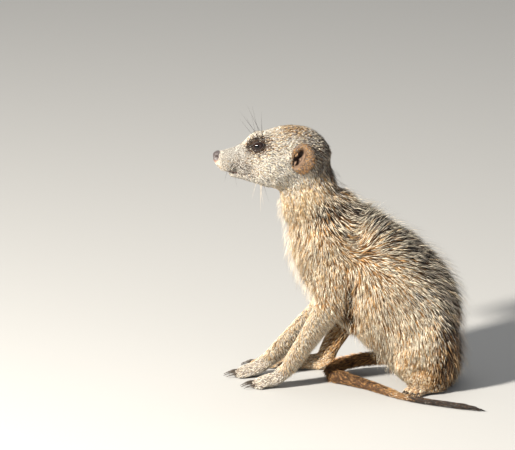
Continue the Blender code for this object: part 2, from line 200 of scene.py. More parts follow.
def refine(inside):
    """Halves the edges that have both ends inside."""
    chosen = [e for e in hide.edges if all(inside(v.co) for v in e.verts)]
    bmesh.ops.subdivide_edges(hide, edges=chosen, cuts=1, use_grid_fill=True)


def near_feature(p):
    spot = np.array(p)
    near_eye = min(np.linalg.norm(spot - EYES[s]) for s in EYES) < EYE_FINE
    return near_eye or np.linalg.norm(spot - NOSE) < NOSE_FINE


refine(lambda p: p.x < FACE_REAR and p.z > FACE_FOOT)
refine(near_feature)
bmesh.ops.triangulate(hide, faces=[f for f in hide.faces if len(f.verts) > 4])
hide.to_mesh(hide_mesh)
hide.free()


def write_points(mesh, spots):
    mesh.vertices.foreach_set("co", spots.ravel())
    mesh.update()


edge_ends = read(hide_mesh.edges, "vertices", 2, np.int32)
hide_count = len(hide_mesh.vertices)
neighbours = np.maximum(np.bincount(edge_ends.ravel(), minlength=hide_count), 1)[:, None]


def mean_round(values):
    """Each point's value becomes the mean of its neighbours' values."""
    out = np.empty_like(values)
    for column in range(values.shape[1]):
        there = np.bincount(edge_ends[:, 0], values[edge_ends[:, 1], column], hide_count)
        back = np.bincount(edge_ends[:, 1], values[edge_ends[:, 0], column], hide_count)
        out[:, column] = there + back
    return out / neighbours


def relaxed(values, amount):
    """Each value moves towards the mean of its neighbours, or away for a negative amount."""
    return values + amount * (mean_round(values) - values)


def blended(values, rounds):
    for _ in range(rounds):
        values = 0.5 * values + 0.5 * mean_round(values)
    return values


def smooth_step(x, low, high):
    """Rises softly from 0 at low to 1 at high."""
    t = np.clip((x - low) / (high - low), 0, 1)
    return t * t * (3 - 2 * t)


def unit(rows):
    """Each row as a vector one long."""
    return rows / np.maximum(np.linalg.norm(rows, axis=1), 1e-9)[:, None]


def covered(under, over, cover):
    """What shows where one value lies over another with that cover, from 0 to 1."""
    return under * (1 - cover) + over * cover


def per_group(table, column):
    """What a column of a table says at each point, blended where groups meet."""
    return belongs @ np.array([table[g][column] for g in GROUPS])


def node_centre(node):
    """The middle of a node's box, in mm."""
    low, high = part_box(node)
    return np.array((low + high) / 2) / MM


GROUP_BLEND = 14  # rounds that soften the borders between groups
skin = read(hide_mesh.vertices, "co", 3)
belongs = np.zeros((hide_count, len(GROUPS)))
for i, spot in enumerate(skin.tolist()):
    belongs[i, face_groups[nearest_solid.find_nearest(spot)[2]]] = 1
belongs = blended(belongs, GROUP_BLEND)
share = {g: belongs[:, i] for i, g in enumerate(GROUPS)}

# Rounds out the flats of the solids, gently on the face and the feet. Each
# step inwards is followed by one outwards, which keeps the bulk.
SOFT, FINE = 1.0, 0.35
STEP_IN, STEP_OUT, STEPS = 0.55, 0.57, 34
face_share = share["head"] + share["jaw"] + share["nose"]
fine_share = face_share + share["forepaw"] + share["hindpaw"]
strength = (SOFT + (FINE - SOFT) * np.clip(fine_share, 0, 1))[:, None]
for _ in range(STEPS):
    skin = relaxed(skin, STEP_IN * strength)
    skin = relaxed(skin, -STEP_OUT * strength)

# Eases the crease where the near thigh meets the trunk.
HAUNCH_JOIN = (47, -14, 54)
HAUNCH_REACH, HAUNCH_STEP, HAUNCH_STEPS = 27, 0.6, 70
join = np.exp(-(np.linalg.norm(skin - HAUNCH_JOIN, axis=1) / HAUNCH_REACH) ** 4)[:, None]
for _ in range(HAUNCH_STEPS):
    skin = relaxed(skin, HAUNCH_STEP * join)

# Sets the hide in by the coat's depth, which is less on the muzzle and more at
# the sides of the nape and over each eye, where the brow sits low.
MUZZLE_START, MUZZLE_REACH, MUZZLE_THIN = 66, 14, 0.62
NAPE_START, NAPE_REACH, NAPE_DEPTH = 40, 24, 1.6
BROW_ABOVE, BROW_REACH, BROW_DEPTH = (0, 0, 5.5), (7.5, 5.0, 3.6), 0.7
NORMAL_BLEND, DEPTH_BLEND = 6, 8
LAST_STEP, LAST_STEPS = 0.4, 3
LOWEST_SKIN = 0.15  # mm above the floor
write_points(hide_mesh, skin)
normals = unit(blended(read(hide_mesh.vertices, "normal", 3), NORMAL_BLEND))
muzzle = np.clip((-skin[:, 0] - MUZZLE_START) / MUZZLE_REACH, 0, 1) * face_share
nape_side = np.clip((skin[:, 0] + NAPE_START) / NAPE_REACH, 0, 1) * share["head"]
depth = belongs @ np.array(list(COAT_DEPTH.values())) * (1 - MUZZLE_THIN * muzzle) + NAPE_DEPTH * nape_side
for centre in EYES.values():
    over_eye = (skin - centre - BROW_ABOVE) / BROW_REACH
    depth += BROW_DEPTH * np.exp(-np.sum(over_eye ** 2, axis=1))
skin = skin - normals * blended(depth[:, None], DEPTH_BLEND)
for _ in range(LAST_STEPS):
    skin = relaxed(skin, LAST_STEP * strength)
skin[:, 2] = np.maximum(skin[:, 2], LOWEST_SKIN)

# The pit in the hide under each ear's cup.
EAR_PIT_HALF = (5.6, 8.0)  # its half length and half height
EAR_PIT_DEPTH = 6.0  # mm in from the middle of the ear
for node in EAR_NODES:
    centre = node_centre(node)
    reach = np.hypot((skin[:, 0] - centre[0]) / EAR_PIT_HALF[0], (skin[:, 2] - centre[2]) / EAR_PIT_HALF[1])
    turn = np.sign(centre[1] - MIDDLE)
    out_now = (skin[:, 1] - MIDDLE) * turn
    deepest = abs(centre[1] - MIDDLE) - EAR_PIT_DEPTH
    sink = smooth_step(-reach, -1.25, -0.85) * (out_now > deepest)
    skin[:, 1] -= turn * sink * (out_now - deepest)

# The hollow behind each upper arm, open from the armpit down to the elbow.
ARM_EDGE = ((52, -9.0), (64, -4.5), (75, -0.5), (88, 4.0))  # z, x of the arm's rear edge
BELLY_EDGE = ((52, 5.5), (64, 3.2), (75, 3.4), (88, 5.0))  # and of the belly's front edge
HOLLOW_FOOT, HOLLOW_TOP = (44, 54), (-94, -84)  # z at the foot, and -z at the top
HOLLOW_DEPTH = 7.0
arm_z, arm_x = np.array(ARM_EDGE).T
belly_z, belly_x = np.array(BELLY_EDGE).T
ahead = skin[:, 0] - np.interp(skin[:, 2], arm_z, arm_x)
behind = np.interp(skin[:, 2], belly_z, belly_x) - skin[:, 0]
hollow = smooth_step(ahead, -1.0, 1.6) * smooth_step(behind, -1.6, 1.0)
hollow *= smooth_step(skin[:, 2], *HOLLOW_FOOT) * smooth_step(-skin[:, 2], *HOLLOW_TOP)
outside = skin[:, 1] - MIDDLE
hollow *= smooth_step(np.abs(outside), 12, 18)
skin[:, 1] -= np.sign(outside) * HOLLOW_DEPTH * hollow

# The lids: an almond opening in the hide over each eyeball, with a raised rim.
# Points near the opening's edge are drawn on to it, so that its line is even.
LID_HALF_LENGTH, LID_HALF_HEIGHT = 4.25, 2.5
LID_CLEARANCE = 0.4
LID_EDGE = 0.97  # inside this ring the hide lies behind the eyeball's front
BEHIND_EYE = 0.78  # the radius it is sunk to, as a part of the eyeball's
LID_REACH = 2.6
FAR_RING = 9.0  # the ring of all points away from the eyes
TURN = {"left": -1, "right": 1}  # the way out from the middle, along y
lid_ring = np.full(hide_count, FAR_RING)


def eye_axes(side):
    """Outward, along the slit towards the back of the head, and up, for one eye."""
    out = np.array((-0.30, 0.93 * TURN[side], 0.20))
    out /= np.linalg.norm(out)
    along = np.array((0.93, 0, 0.36))
    along -= out * (along @ out)
    along /= np.linalg.norm(along)
    up = np.cross(along, out) * -TURN[side]
    return out, along, up if up[2] > 0 else -up


for side, centre in EYES.items():
    out, along, up = eye_axes(side)
    away = skin - centre
    w, u, v = away @ out, away @ along, away @ up
    ring = np.sqrt((u / LID_HALF_LENGTH) ** 2 + (v / LID_HALF_HEIGHT) ** 2)
    even = np.where(ring < 0.98, np.where(ring > 0.84, 0.96, ring), np.where(ring < 1.10, 1.0, ring))
    even = np.where(w > 0.5, even / np.maximum(ring, 1e-6), 1)
    skin += along * (u * (even - 1))[:, None] + up * (v * (even - 1))[:, None]
    u, v, ring = u * even, v * even, ring * even
    front = (w > 0.5) & (ring < LID_REACH)
    lid_ring[front] = np.minimum(lid_ring[front], ring[front])
    off_axis = u * u + v * v
    rim = np.sqrt(np.maximum((EYE_RADIUS + LID_CLEARANCE) ** 2 - off_axis, 0.3))
    sunk = np.sqrt(np.maximum((EYE_RADIUS * BEHIND_EYE) ** 2 - off_axis, 0)) - 0.4
    lid = np.where(ring < LID_EDGE, sunk, np.maximum(rim, w - 0.2))
    target = np.where(ring < LID_EDGE, lid, covered(lid, w, smooth_step(ring, 1.15, 2.0)))
    skin[front] += (out * (target - w)[:, None])[front]

# The nostrils, the groove under the nose and the line of the mouth.
NOSTRIL = (-92.2, 3.6, 164.3)  # x, off the middle, z
PIT_REACH, PIT_PUSH = 1.3, (1.6, 1.8, 0.1)  # mm back, in and up
GROOVE_HALF, GROOVE_DEPTH = 0.45, 0.6
MOUTH = ((-92, 158.6), (-86, 155.6), (-80, 153.9), (-72, 153.3), (-64, 154.6))  # x, z
MOUTH_HALF, MOUTH_DEPTH = 0.55, 1.0
nostril_shade = np.zeros(hide_count)
for turn in TURN.values():
    centre = np.array((NOSTRIL[0], MIDDLE + turn * NOSTRIL[1], NOSTRIL[2]))
    away = np.linalg.norm((skin - centre) * (1, 1, 0.85), axis=1)
    pit = np.exp(-(away / PIT_REACH) ** 2)
    nostril_shade = np.maximum(nostril_shade, np.exp(-(away / 1.25) ** 4))
    skin += pit[:, None] * np.array((PIT_PUSH[0], -turn * PIT_PUSH[1], PIT_PUSH[2]))
across = np.abs(skin[:, 1] - MIDDLE)
groove = np.exp(-(across / GROOVE_HALF) ** 2) * smooth_step(-skin[:, 0], 90, 92)
skin[:, 0] += GROOVE_DEPTH * (groove * smooth_step(-skin[:, 2], -165, -162))
line = np.interp(skin[:, 0], *np.array(MOUTH).T)
on_mouth = smooth_step(-skin[:, 0], 62, 68) * smooth_step(-skin[:, 0], -95, -90)
crease = np.exp(-((skin[:, 2] - line) / MOUTH_HALF) ** 2) * on_mouth * (share["head"] + share["jaw"])
skin[:, 1] -= np.sign(skin[:, 1] - MIDDLE) * MOUTH_DEPTH * crease

# The clefts between the toes, from the claws back to the knuckles.
TOES = 4
CLEFT_FRONT = (-1.0, 1.0)  # mm back from the claws
CLEFT_BACK = (-9.0, -4.0)  # mm forward from them
CLEFT_HALF, CLEFT_DEPTH = 0.75, 1.7
CLEFT_TOP, CLEFT_FLOOR = 16, 0.4  # mm above the floor
cleft = np.zeros(hide_count)
for foot, side in (("fore", "left"), ("fore", "right"), ("hind", "left"), ("hind", "right")):
    claws = [node_centre(f"{foot}claw_{side}_{toe}")[:2] for toe in range(1, TOES + 1)]
    back = node_centre(f"{foot}paw_{side}")[:2] - np.mean(claws, axis=0)
    back /= np.linalg.norm(back)
    across_foot = np.array((-back[1], back[0]))
    for one, other in zip(claws, claws[1:]):
        away = skin[:, :2] - (one + other) / 2
        behind_claw, beside_cleft = away @ back, away @ across_foot
        here = np.exp(-(beside_cleft / CLEFT_HALF) ** 2) * smooth_step(behind_claw, *CLEFT_FRONT)
        here *= smooth_step(-behind_claw, *CLEFT_BACK) * (skin[:, 2] < CLEFT_TOP)
        cleft = np.maximum(cleft, here * share[f"{foot}paw"])
skin[:, 2] = np.maximum(skin[:, 2] - CLEFT_DEPTH * cleft, np.minimum(skin[:, 2], CLEFT_FLOOR))
write_points(hide_mesh, skin)


# ---- Markings --------------------------------------------------------------
# The colours of the hairs, and how they are mixed over the body. The hide
# underneath carries the same mixture, darker, as it lies in the coat's shade.
HAIRS = ("cream", "straw", "gold", "umber", "black", "silver", "grey")
HAIR_COLOURS = np.array((
    (0.90, 0.79, 0.61), (0.76, 0.55, 0.31), (0.58, 0.31, 0.11), (0.135, 0.062, 0.025),
    (0.020, 0.014, 0.011), (0.72, 0.685, 0.62), (0.25, 0.215, 0.18),
))


def mix(**parts):
    """The parts of each kind of hair, as shares of one."""
    amounts = np.array([parts.get(h, 0.0) for h in HAIRS])
    return amounts / amounts.sum()


# Looks are the outer hair's mixture, that of the dark hair between it, and
# the dark hair's share.
GROUP_LOOKS = {
    "nose": (mix(grey=1), mix(grey=1), 0.5),
    "head": (mix(cream=3, silver=6, straw=1), mix(straw=2, grey=6, gold=1, umber=2), 0.32),
    "jaw": (mix(cream=2, silver=6, grey=2), mix(grey=4, umber=3, black=3), 0.4),
    "neck": (mix(cream=7, straw=3, gold=1), mix(gold=6, straw=2, umber=2), 0.26),
    "trunk": (mix(cream=8, straw=1, gold=1), mix(gold=7, umber=3), 0.35),
    "arm": (mix(cream=7, straw=2, gold=2), mix(gold=6, umber=4), 0.38),
    "forearm": (mix(cream=6, silver=2, straw=3), mix(umber=2, gold=4, grey=3), 0.28),
    "forepaw": (mix(silver=3, cream=3, grey=4), mix(umber=5, grey=4, black=1), 0.45),
    "thigh": (mix(cream=8, straw=1, gold=1), mix(gold=8, umber=2), 0.3),
    "shin": (mix(straw=4, gold=3, cream=1, grey=1), mix(gold=3, umber=6), 0.55),
    "hindpaw": (mix(straw=3, gold=1, cream=3, grey=2), mix(gold=3, umber=6), 0.34),
    "tail_base": (mix(gold=6, umber=3), mix(umber=8, gold=2), 0.5),
    "tail_middle": (mix(gold=4, umber=6), mix(umber=5, black=5), 0.62),
    "tail_tip": (mix(umber=3, grey=1, black=6), mix(black=1), 0.6),
}
MARKS = (  # name, centre (x, off the middle, z), radii in mm, strength, looks
    ("muzzle_top", (-80, 4, 169), (14, 9, 6), 1.0, mix(silver=6, grey=3), mix(grey=7, silver=3), 0.35),
    ("whisker_bed", (-76, 9, 160), (14, 9, 7), 0.9, mix(silver=5, grey=5),
     mix(umber=3, grey=5, black=2), 0.5),
    ("brow", (-57, 10, 184), (12, 10, 5), 0.8, mix(silver=6, cream=4), mix(grey=5, gold=2), 0.3),
    ("crown", (-38, 8, 188), (17, 15, 8), 1.0, mix(straw=6, gold=3, grey=3), mix(umber=9, gold=1), 0.64),
    ("hind_crown", (-19, 8, 176), (14, 15, 12), 1.0, mix(cream=4, silver=3, grey=4),
     mix(black=7, umber=3), 0.66),
    # The nape's hair is dark of its own, and darker still as painted shade.
    ("nape", (-8, 6, 156), (12, 16, 21), 1.0, mix(silver=2, grey=8), mix(black=9, umber=1), 0.88),
    # Painted shadow: dark hair behind each ear.
    ("behind_ear", (-19, 21, 161), (7, 8, 14), 1.0, mix(grey=7, cream=1), mix(black=8, umber=2), 0.88),
    ("cheek", (-48, 18, 160), (14, 9, 12), 0.9, mix(cream=4, silver=7),
     mix(grey=7, umber=2, black=1), 0.25),
    ("eye_patch", (-65.5, 13, 174.8), (10.0, 9, 5.8), 1.0, mix(umber=7, grey=1, black=3),
     mix(umber=3, black=7), 0.76),
    ("eye_ring", (-65.2, 11, 174.8), (7.6, 7.5, 4.5), 1.0, mix(umber=5, black=6), mix(black=1), 0.8),
    ("eye_corner", (-71.5, 10, 174.5), (2.2, 5, 4.2), 0.8, mix(umber=3, black=7), mix(black=1), 0.7),
    ("throat", (-44, 0, 136), (13, 16, 18), 0.9, mix(cream=5, straw=4, grey=1),
     mix(straw=5, gold=3, grey=2), 0.42),
    ("neck_side", (-30, 18, 138), (7, 9, 13), 0.9, mix(straw=6, cream=5), mix(straw=5, gold=5), 0.26),
    ("collar_low", (-22, 20, 130), (9, 10, 7), 0.9, mix(cream=7, straw=2), mix(umber=7, black=3), 0.66),
    ("collar_side", (-15, 21, 128), (9, 12, 13), 1.0, mix(cream=7, gold=2), mix(umber=6, black=5), 0.76),
    ("collar_high", (-6, 18, 131), (15, 14, 9), 1.0, mix(cream=8, grey=1), mix(umber=5, black=6), 0.76),
    ("withers", (12, 10, 130), (16, 18, 10), 0.9, mix(cream=7, grey=2), mix(umber=3, black=7), 0.68),
    ("chest", (-46, 0, 100), (10, 16, 24), 0.9, mix(cream=7, straw=3), mix(straw=5, gold=4), 0.34),
    ("shoulder", (-22, 24, 100), (13, 12, 22), 0.8, mix(cream=8, straw=2), mix(umber=4, gold=6), 0.38),
    # Painted shade: dark hair in the slit behind the upper arm.
    ("armpit", (0.5, 24, 66), (4.5, 14, 18), 1.0, mix(umber=8, gold=1), mix(black=8, umber=2), 0.82),
    ("whorl", (7, 27, 102), (7, 10, 9), 0.8, mix(cream=4, gold=4), mix(umber=7, gold=3), 0.55),
    ("belly", (12, 30, 56), (14, 16, 20), 0.9, mix(cream=8, straw=2, gold=1), mix(gold=8, umber=1), 0.28),
    ("flank", (36, 30, 62), (18, 14, 24), 0.8, mix(cream=9, straw=1, gold=1), mix(gold=8, umber=2), 0.3),
    ("haunch_top", (52, 32, 71), (17, 14, 15), 0.8, mix(cream=9, silver=2),
     mix(umber=7, black=2, gold=2), 0.42),
    ("haunch_low", (38, 38, 18), (15, 16, 16), 0.95, mix(straw=3, cream=6, gold=2),
     mix(gold=8, umber=1), 0.26),
    # The rump and the back of the haunch are dark of their own, and darker still as painted shade.
    ("rump", (76, 18, 42), (14, 30, 38), 1.0, mix(grey=5, umber=2, straw=1), mix(black=8, umber=2), 0.82),
    ("haunch_rear", (70, 34, 20), (13, 16, 24), 0.9, mix(straw=2, gold=3, umber=3),
     mix(black=6, umber=4), 0.78),
    ("back_edge", (72, 12, 86), (20, 22, 24), 0.7, mix(grey=5, cream=4), mix(black=9, umber=1), 0.7),
)
BAND_SPACING = 11.5  # mm between the dark bands across the lower back
BAND_SHARE, BAND_SWING = 0.5, 0.22  # the dark share on the back, and how much more a band has
BAND_WAY = (0.62, 0.78)  # across the bands, along x and down
BACK_WAY = np.array((0.80, 0, 0.60))  # the back is what faces this way
normals = read(hide_mesh.vertices, "normal", 3)
looks = [per_group(GROUP_LOOKS, k) for k in (0, 1)] + [per_group(GROUP_LOOKS, 2)[:, None]]


def lay(cover, *place_looks):
    """Lays a place's own looks over the ones that are there."""
    looks[:] = [covered(here, over, cover) for here, over in zip(looks, place_looks)]


body = np.clip(share["trunk"] + share["thigh"], 0, 1)
back = (smooth_step(blended(normals, 4) @ BACK_WAY, 0.10, 0.75) * body)[:, None]
run = skin[:, 0] * BAND_WAY[0] - skin[:, 2] * BAND_WAY[1]
bands = (0.5 + 0.5 * np.sin(run * 2 * math.pi / BAND_SPACING))[:, None]
lay(back, mix(cream=6, grey=3, straw=1), mix(black=8, umber=2), BAND_SHARE + BAND_SWING * bands)
sides = np.column_stack((skin[:, 0], np.abs(skin[:, 1] - MIDDLE), skin[:, 2]))
for _, centre, radii, power, *place_looks in MARKS:
    reach = ((sides - centre) / radii) ** 2
    lay((power * np.exp(-reach.sum(1) ** 1.5))[:, None], *place_looks)
# Painted shade: the clefts between the toes and the hollow behind each arm get umber and black hair.
lay(np.maximum(cleft, 0.85 * hollow)[:, None], mix(umber=8, gold=2), mix(umber=4, black=6), 0.95)
outer_mix, dark_mix, dark_share = looks

# The hide's colour, its hair's mixture darkened as painted shade under the coat, and the bare skin of the
# lids, nose pad and lips.
DARK_UNDER, PALE_UNDER = 0.8, 0.5  # how much of its hair's colour the hide has
LID_COLOUR, NOSTRIL_COLOUR = (0.018, 0.013, 0.011), (0.02, 0.008, 0.006)
PAD_COLOUR, PAD_PINK = (0.065, 0.052, 0.05), (0.22, 0.085, 0.045)  # the pink is added low on the pad
LIP_COLOUR, GAP_COLOUR = (0.035, 0.022, 0.018), (0.22, 0.035, 0.025)
under_dark = DARK_UNDER * dark_mix @ HAIR_COLOURS * dark_share
skin_colour = under_dark + PALE_UNDER * outer_mix @ HAIR_COLOURS * (1 - dark_share)
skin_colour = covered(skin_colour, LID_COLOUR, smooth_step(-lid_ring, -1.95, -1.15)[:, None])
pad = smooth_step(share["nose"] + smooth_step(-skin[:, 0], 89.5, 92) * 0.6, 0.5, 0.9)[:, None]
pad_colour = PAD_COLOUR + smooth_step(-skin[:, 2], -163.0, -160.8)[:, None] * PAD_PINK
# Painted shade: the nostrils are near black, for the shade in their openings.
pad_colour = covered(pad_colour, NOSTRIL_COLOUR, nostril_shade[:, None])
skin_colour = covered(skin_colour, pad_colour, pad)
lips = smooth_step(crease, 0.25, 0.55)[:, None]
skin_colour = covered(skin_colour, LIP_COLOUR, lips)
gap = (crease * smooth_step(-skin[:, 0], 76.5, 78.5) * smooth_step(skin[:, 0], -86, -84))[:, None]
skin_colour = covered(skin_colour, GAP_COLOUR, gap)


def paint(mesh, layer_name, colours, alpha=1.0):
    """Gives each point of a mesh its colour."""
    layer = mesh.color_attributes.new(layer_name, "FLOAT_COLOR", "POINT")
    alpha = np.broadcast_to(alpha, (len(colours), 1))
    layer.data.foreach_set("color", np.hstack((colours, alpha)).ravel())


hide_mesh.name = "skin"
skin_object = show("skin", hide_mesh)
write_points(hide_mesh, skin * MM)
paint(hide_mesh, "markings", skin_colour, pad)
hide_mesh.shade_smooth()
bpy.context.view_layer.objects.active = skin_object
skin_object.select_set(True)
bpy.ops.object.mode_set(mode="EDIT")
bpy.ops.mesh.select_all(action="SELECT")
bpy.ops.uv.smart_project(angle_limit=math.radians(66), island_margin=0.002)
bpy.ops.object.mode_set(mode="OBJECT")
hide_mesh.uv_layers[0].name = "OFBake"


def add(material, kind, **settings):
    """A new shader node. A setting is one of its inputs, with _ for a space, or a property."""
    node = material.node_tree.nodes.new("ShaderNode" + kind)
    for key, value in settings.items():
        socket = key.replace("_", " ")
        if socket in node.inputs:
            node.inputs[socket].default_value = value
        else:
            setattr(node, key, value)
    return node


def tone_of(material, layer_name):
    """A node that reads a colour layer of the mesh."""
    return add(material, "Attribute", attribute_name=layer_name)


def wire(*links):
    """Joins one node's output to another's input, for each link."""
    for start, output, end, socket in links:
        start.id_data.links.new(start.outputs[output], end.inputs[socket])


hide_material, shader = new_material("hide")
marks = tone_of(hide_material, "markings")
pores = add(hide_material, "TexNoise", Scale=1900.0, Detail=3.0)
nose_grain = add(hide_material, "TexVoronoi", Scale=2100.0)
grain = add(hide_material, "Mix", data_type="FLOAT")
bump = add(hide_material, "Bump", Strength=0.5, Distance=0.0003)
gloss = add(hide_material, "MapRange", To_Min=0.8, To_Max=0.38)
coords = add(hide_material, "TexCoord")
wire(
    (coords, "Object", pores, "Vector"), (coords, "Object", nose_grain, "Vector"),
    (marks, "Color", shader, "Base Color"), (marks, "Alpha", grain, "Factor"),
    (pores, "Fac", grain, 2), (nose_grain, "Distance", grain, 3), (grain, 0, bump, "Height"),
    (bump, "Normal", shader, "Normal"), (marks, "Alpha", gloss, "Value"),
    (gloss, "Result", shader, "Roughness"),
)
hide_mesh.materials.append(hide_material)
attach(skin_object, "root")
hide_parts(*FLESH)


# ---- Eyes ------------------------------------------------------------------
# Dark round eyeballs of the solids' own size, with a deep brown iris, a wide
# pupil and a wet clear surface, set behind the lids.
CORNEA_START, CORNEA_REACH, CORNEA_BULGE = 0.72, 0.28, 0.035  # parts of the eyeball's radius
EYE_COLOUR, IRIS_COLOUR, LEAST_COLOUR = (0.006, 0.004, 0.004), (0.010, 0.004, 0.002), 0.002
PUPIL_HALF = (2.1, 1.5)  # along the slit and across it
eye_material, shader = new_material("eye", 0.05, 0.32)
eye_tone = tone_of(eye_material, "eye_tone")
wire((eye_tone, "Color", shader, "Base Color"))
for side, centre in EYES.items():
    out, along, up = eye_axes(side)
    grid = bmesh.new()
    bmesh.ops.create_uvsphere(grid, u_segments=48, v_segments=32, radius=1)
    for v in grid.verts:
        bulge = 1 + CORNEA_BULGE * max(0.0, v.co.z - CORNEA_START) / CORNEA_REACH
        spot = centre + EYE_RADIUS * bulge * (along * v.co.x + up * v.co.y + out * v.co.z)
        v.co = Vector(spot * MM)
    bmesh.ops.recalc_face_normals(grid, faces=grid.faces)
    eye = settled(f"eyeball_{side}", grid)
    eye.data.shade_smooth()
    spots = read(eye.data.vertices, "co", 3) / MM - centre
    wide, tall, ahead = spots @ along, spots @ up, (spots @ out > 0)[:, None]
    off_pupil = np.sqrt((wide / PUPIL_HALF[0]) ** 2 + (tall / PUPIL_HALF[1]) ** 2)
    pupil = (1 - smooth_step(off_pupil, 0.85, 1.1))[:, None]
    iris = (1 - smooth_step(np.sqrt(wide ** 2 + tall ** 2), 3.3, 3.8))[:, None] * ahead
    colour = EYE_COLOUR + iris * IRIS_COLOUR
    paint(eye.data, "eye_tone", colour * (1 - pupil * ahead) + LEAST_COLOUR)
    eye.data.materials.append(eye_material)
    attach(eye, "root")
    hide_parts(f"eye_{side}")


# ---- Ears ------------------------------------------------------------------
# Small low crescents of thin gristle under skin: a dark cup with two folds and
# three lobes in it, and a broad rim curled over at the back.
EAR_ROUND, EAR_STEPS = 72, 34
CUP_END, RIM_END = 0.5, 0.78  # along the way from the canal over the rim
EAR_TURN, EAR_HALF = math.radians(14), (8.2, 10.6)
SLIT_CENTRE, SLIT_HALF, SLIT_TURN = (-2.5, -0.5), (3.9, 7.6), math.radians(16)
EAR_FOLDS = ((0.55, 0.28, 2.0), (4.6, 0.30, 1.8))  # angle, half width, height
EAR_LOBES = (  # x, z, half width, half height, how far it stands up
    (-2.3, 2.6, 1.7, 2.2, 3.6), (1.2, -0.8, 1.2, 1.5, 3.0), (-1.9, -3.6, 1.3, 1.6, 2.4),
)
RIM_FRONT, RIM_RISE = -0.2, 3.5  # height of the rim at the front, and how much higher it is at the back
CUP_FLOOR, CUP_WALL = -4.6, 4.2
EAR_SUNK, EAR_OUT = 5.5, 0.7  # how deep its root goes, and how far the whole ear stands out


def turned(x, z, angle):
    return x * math.cos(angle) + z * math.sin(angle), -x * math.sin(angle) + z * math.cos(angle)


def ear_point(s, angle):
    """A point of the ear, s of the way from the canal to the root behind the rim."""
    x, z = math.cos(angle), math.sin(angle)
    back = 0.5 + 0.5 * math.cos(angle - 0.15)  # 1 at the back of the ear, 0 at its front
    rim = RIM_FRONT + RIM_RISE * back ** 1.2
    px, pz = turned(x * SLIT_HALF[0], z * SLIT_HALF[1], SLIT_TURN)
    over = max(0.0, min(1.0, (s - CUP_END) / (RIM_END - CUP_END)))  # 0 in the cup, 1 behind the rim
    tuck = 1
    if s < CUP_END:
        t = s / CUP_END
        px, pz = px * (0.1 + 0.9 * t), pz * (0.1 + 0.9 * t)
        high = CUP_FLOOR + (rim + CUP_WALL) * t ** 2.4
        for fold_angle, fold_width, fold_height in EAR_FOLDS:
            near = math.exp(-((angle - fold_angle) / fold_width) ** 2)
            high += fold_height * near * math.sin(math.pi * t) ** 1.3
        for lobe_x, lobe_z, lobe_wide, lobe_tall, lobe_high in EAR_LOBES:
            off = ((px - lobe_x) / lobe_wide) ** 2 + ((pz - lobe_z) / lobe_tall) ** 2
            high += lobe_high * math.exp(-off ** 1.5) * (1 - t ** 3)
    else:
        high = rim - 0.4 + (0.3 + 0.8 * back) * math.sin(math.pi * 0.75 * over)
        if s > RIM_END:
            t = (s - RIM_END) / (1 - RIM_END)
            high = high * (1 - t) - EAR_SUNK * t
            tuck = 1 + 0.05 * math.sin(math.pi * t) - 0.14 * t
    px = covered(px + SLIT_CENTRE[0], x * EAR_HALF[0] * 0.97, over)
    pz = covered(pz + SLIT_CENTRE[1], z * EAR_HALF[1] * 0.97, over)
    return *turned(px * tuck, pz * tuck, EAR_TURN), high + EAR_OUT


def ear_surface(centre, turn):
    """Rings of points from the ear's canal out over its rim and down behind it."""
    rings = []
    for j in range(EAR_STEPS + 1):
        ring = []
        for i in range(EAR_ROUND):
            lean_x, lean_z, high = ear_point(j / EAR_STEPS, 2 * math.pi * i / EAR_ROUND)
            ring.append((centre[0] + lean_x, centre[1] + turn * high, centre[2] + lean_z))
        rings.append(ring)
    return rings


def ring_mesh(name, rings):
    """A closed body through rings of points, with its first and last ring filled."""
    count = len(rings[0])
    body = bmesh.new()
    rows = [[body.verts.new(Vector(p) * MM) for p in ring] for ring in rings]
    for low, high in zip(rows, rows[1:]):
        for i in range(count):
            j = (i + 1) % count
            body.faces.new((low[i], low[j], high[j], high[i]))
    for row in (rows[0][::-1], rows[-1]):
        centre = body.verts.new(sum((v.co for v in row), Vector()) / count)
        for i in range(count):
            body.faces.new((row[i], row[(i + 1) % count], centre))
    bmesh.ops.recalc_face_normals(body, faces=body.faces)
    return settled(name, body)


EAR_RIM_COLOUR, EAR_CUP_COLOUR = np.array(((0.15, 0.092, 0.056), (0.035, 0.016, 0.010)))
ear_material, shader = new_material("ear_skin", 0.7)
ear_tone = tone_of(ear_material, "ear_tone")
down = add(ear_material, "TexNoise", Scale=1500.0, Detail=4.0)
ear_bump = add(ear_material, "Bump", Strength=0.6, Distance=0.0003)
wire(
    (ear_tone, "Color", shader, "Base Color"), (down, "Fac", ear_bump, "Height"),
    (ear_bump, "Normal", shader, "Normal"),
)
ears = {}
for side, turn in TURN.items():
    centre = node_centre(f"ear_{side}")
    rings = ear_surface(centre, turn)
    ear = ring_mesh(f"pinna_{side}", rings)
    ear.data.shade_smooth()
    steps = np.repeat(np.arange(EAR_STEPS + 1) / EAR_STEPS, EAR_ROUND)
    height = (np.array(rings).reshape(-1, 3)[:, 1] - centre[1]) * turn
    inner = ((1 - smooth_step(height, -2.8, 0.2)) * (steps < RIM_END))[:, None]
    colour = covered(EAR_RIM_COLOUR, EAR_CUP_COLOUR, inner)
    paint(ear.data, "ear_tone", np.vstack((colour, EAR_CUP_COLOUR, EAR_RIM_COLOUR)))
    ear.data.materials.append(ear_material)
    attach(ear, "root")
    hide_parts(f"ear_{side}")
    ears[turn] = rings


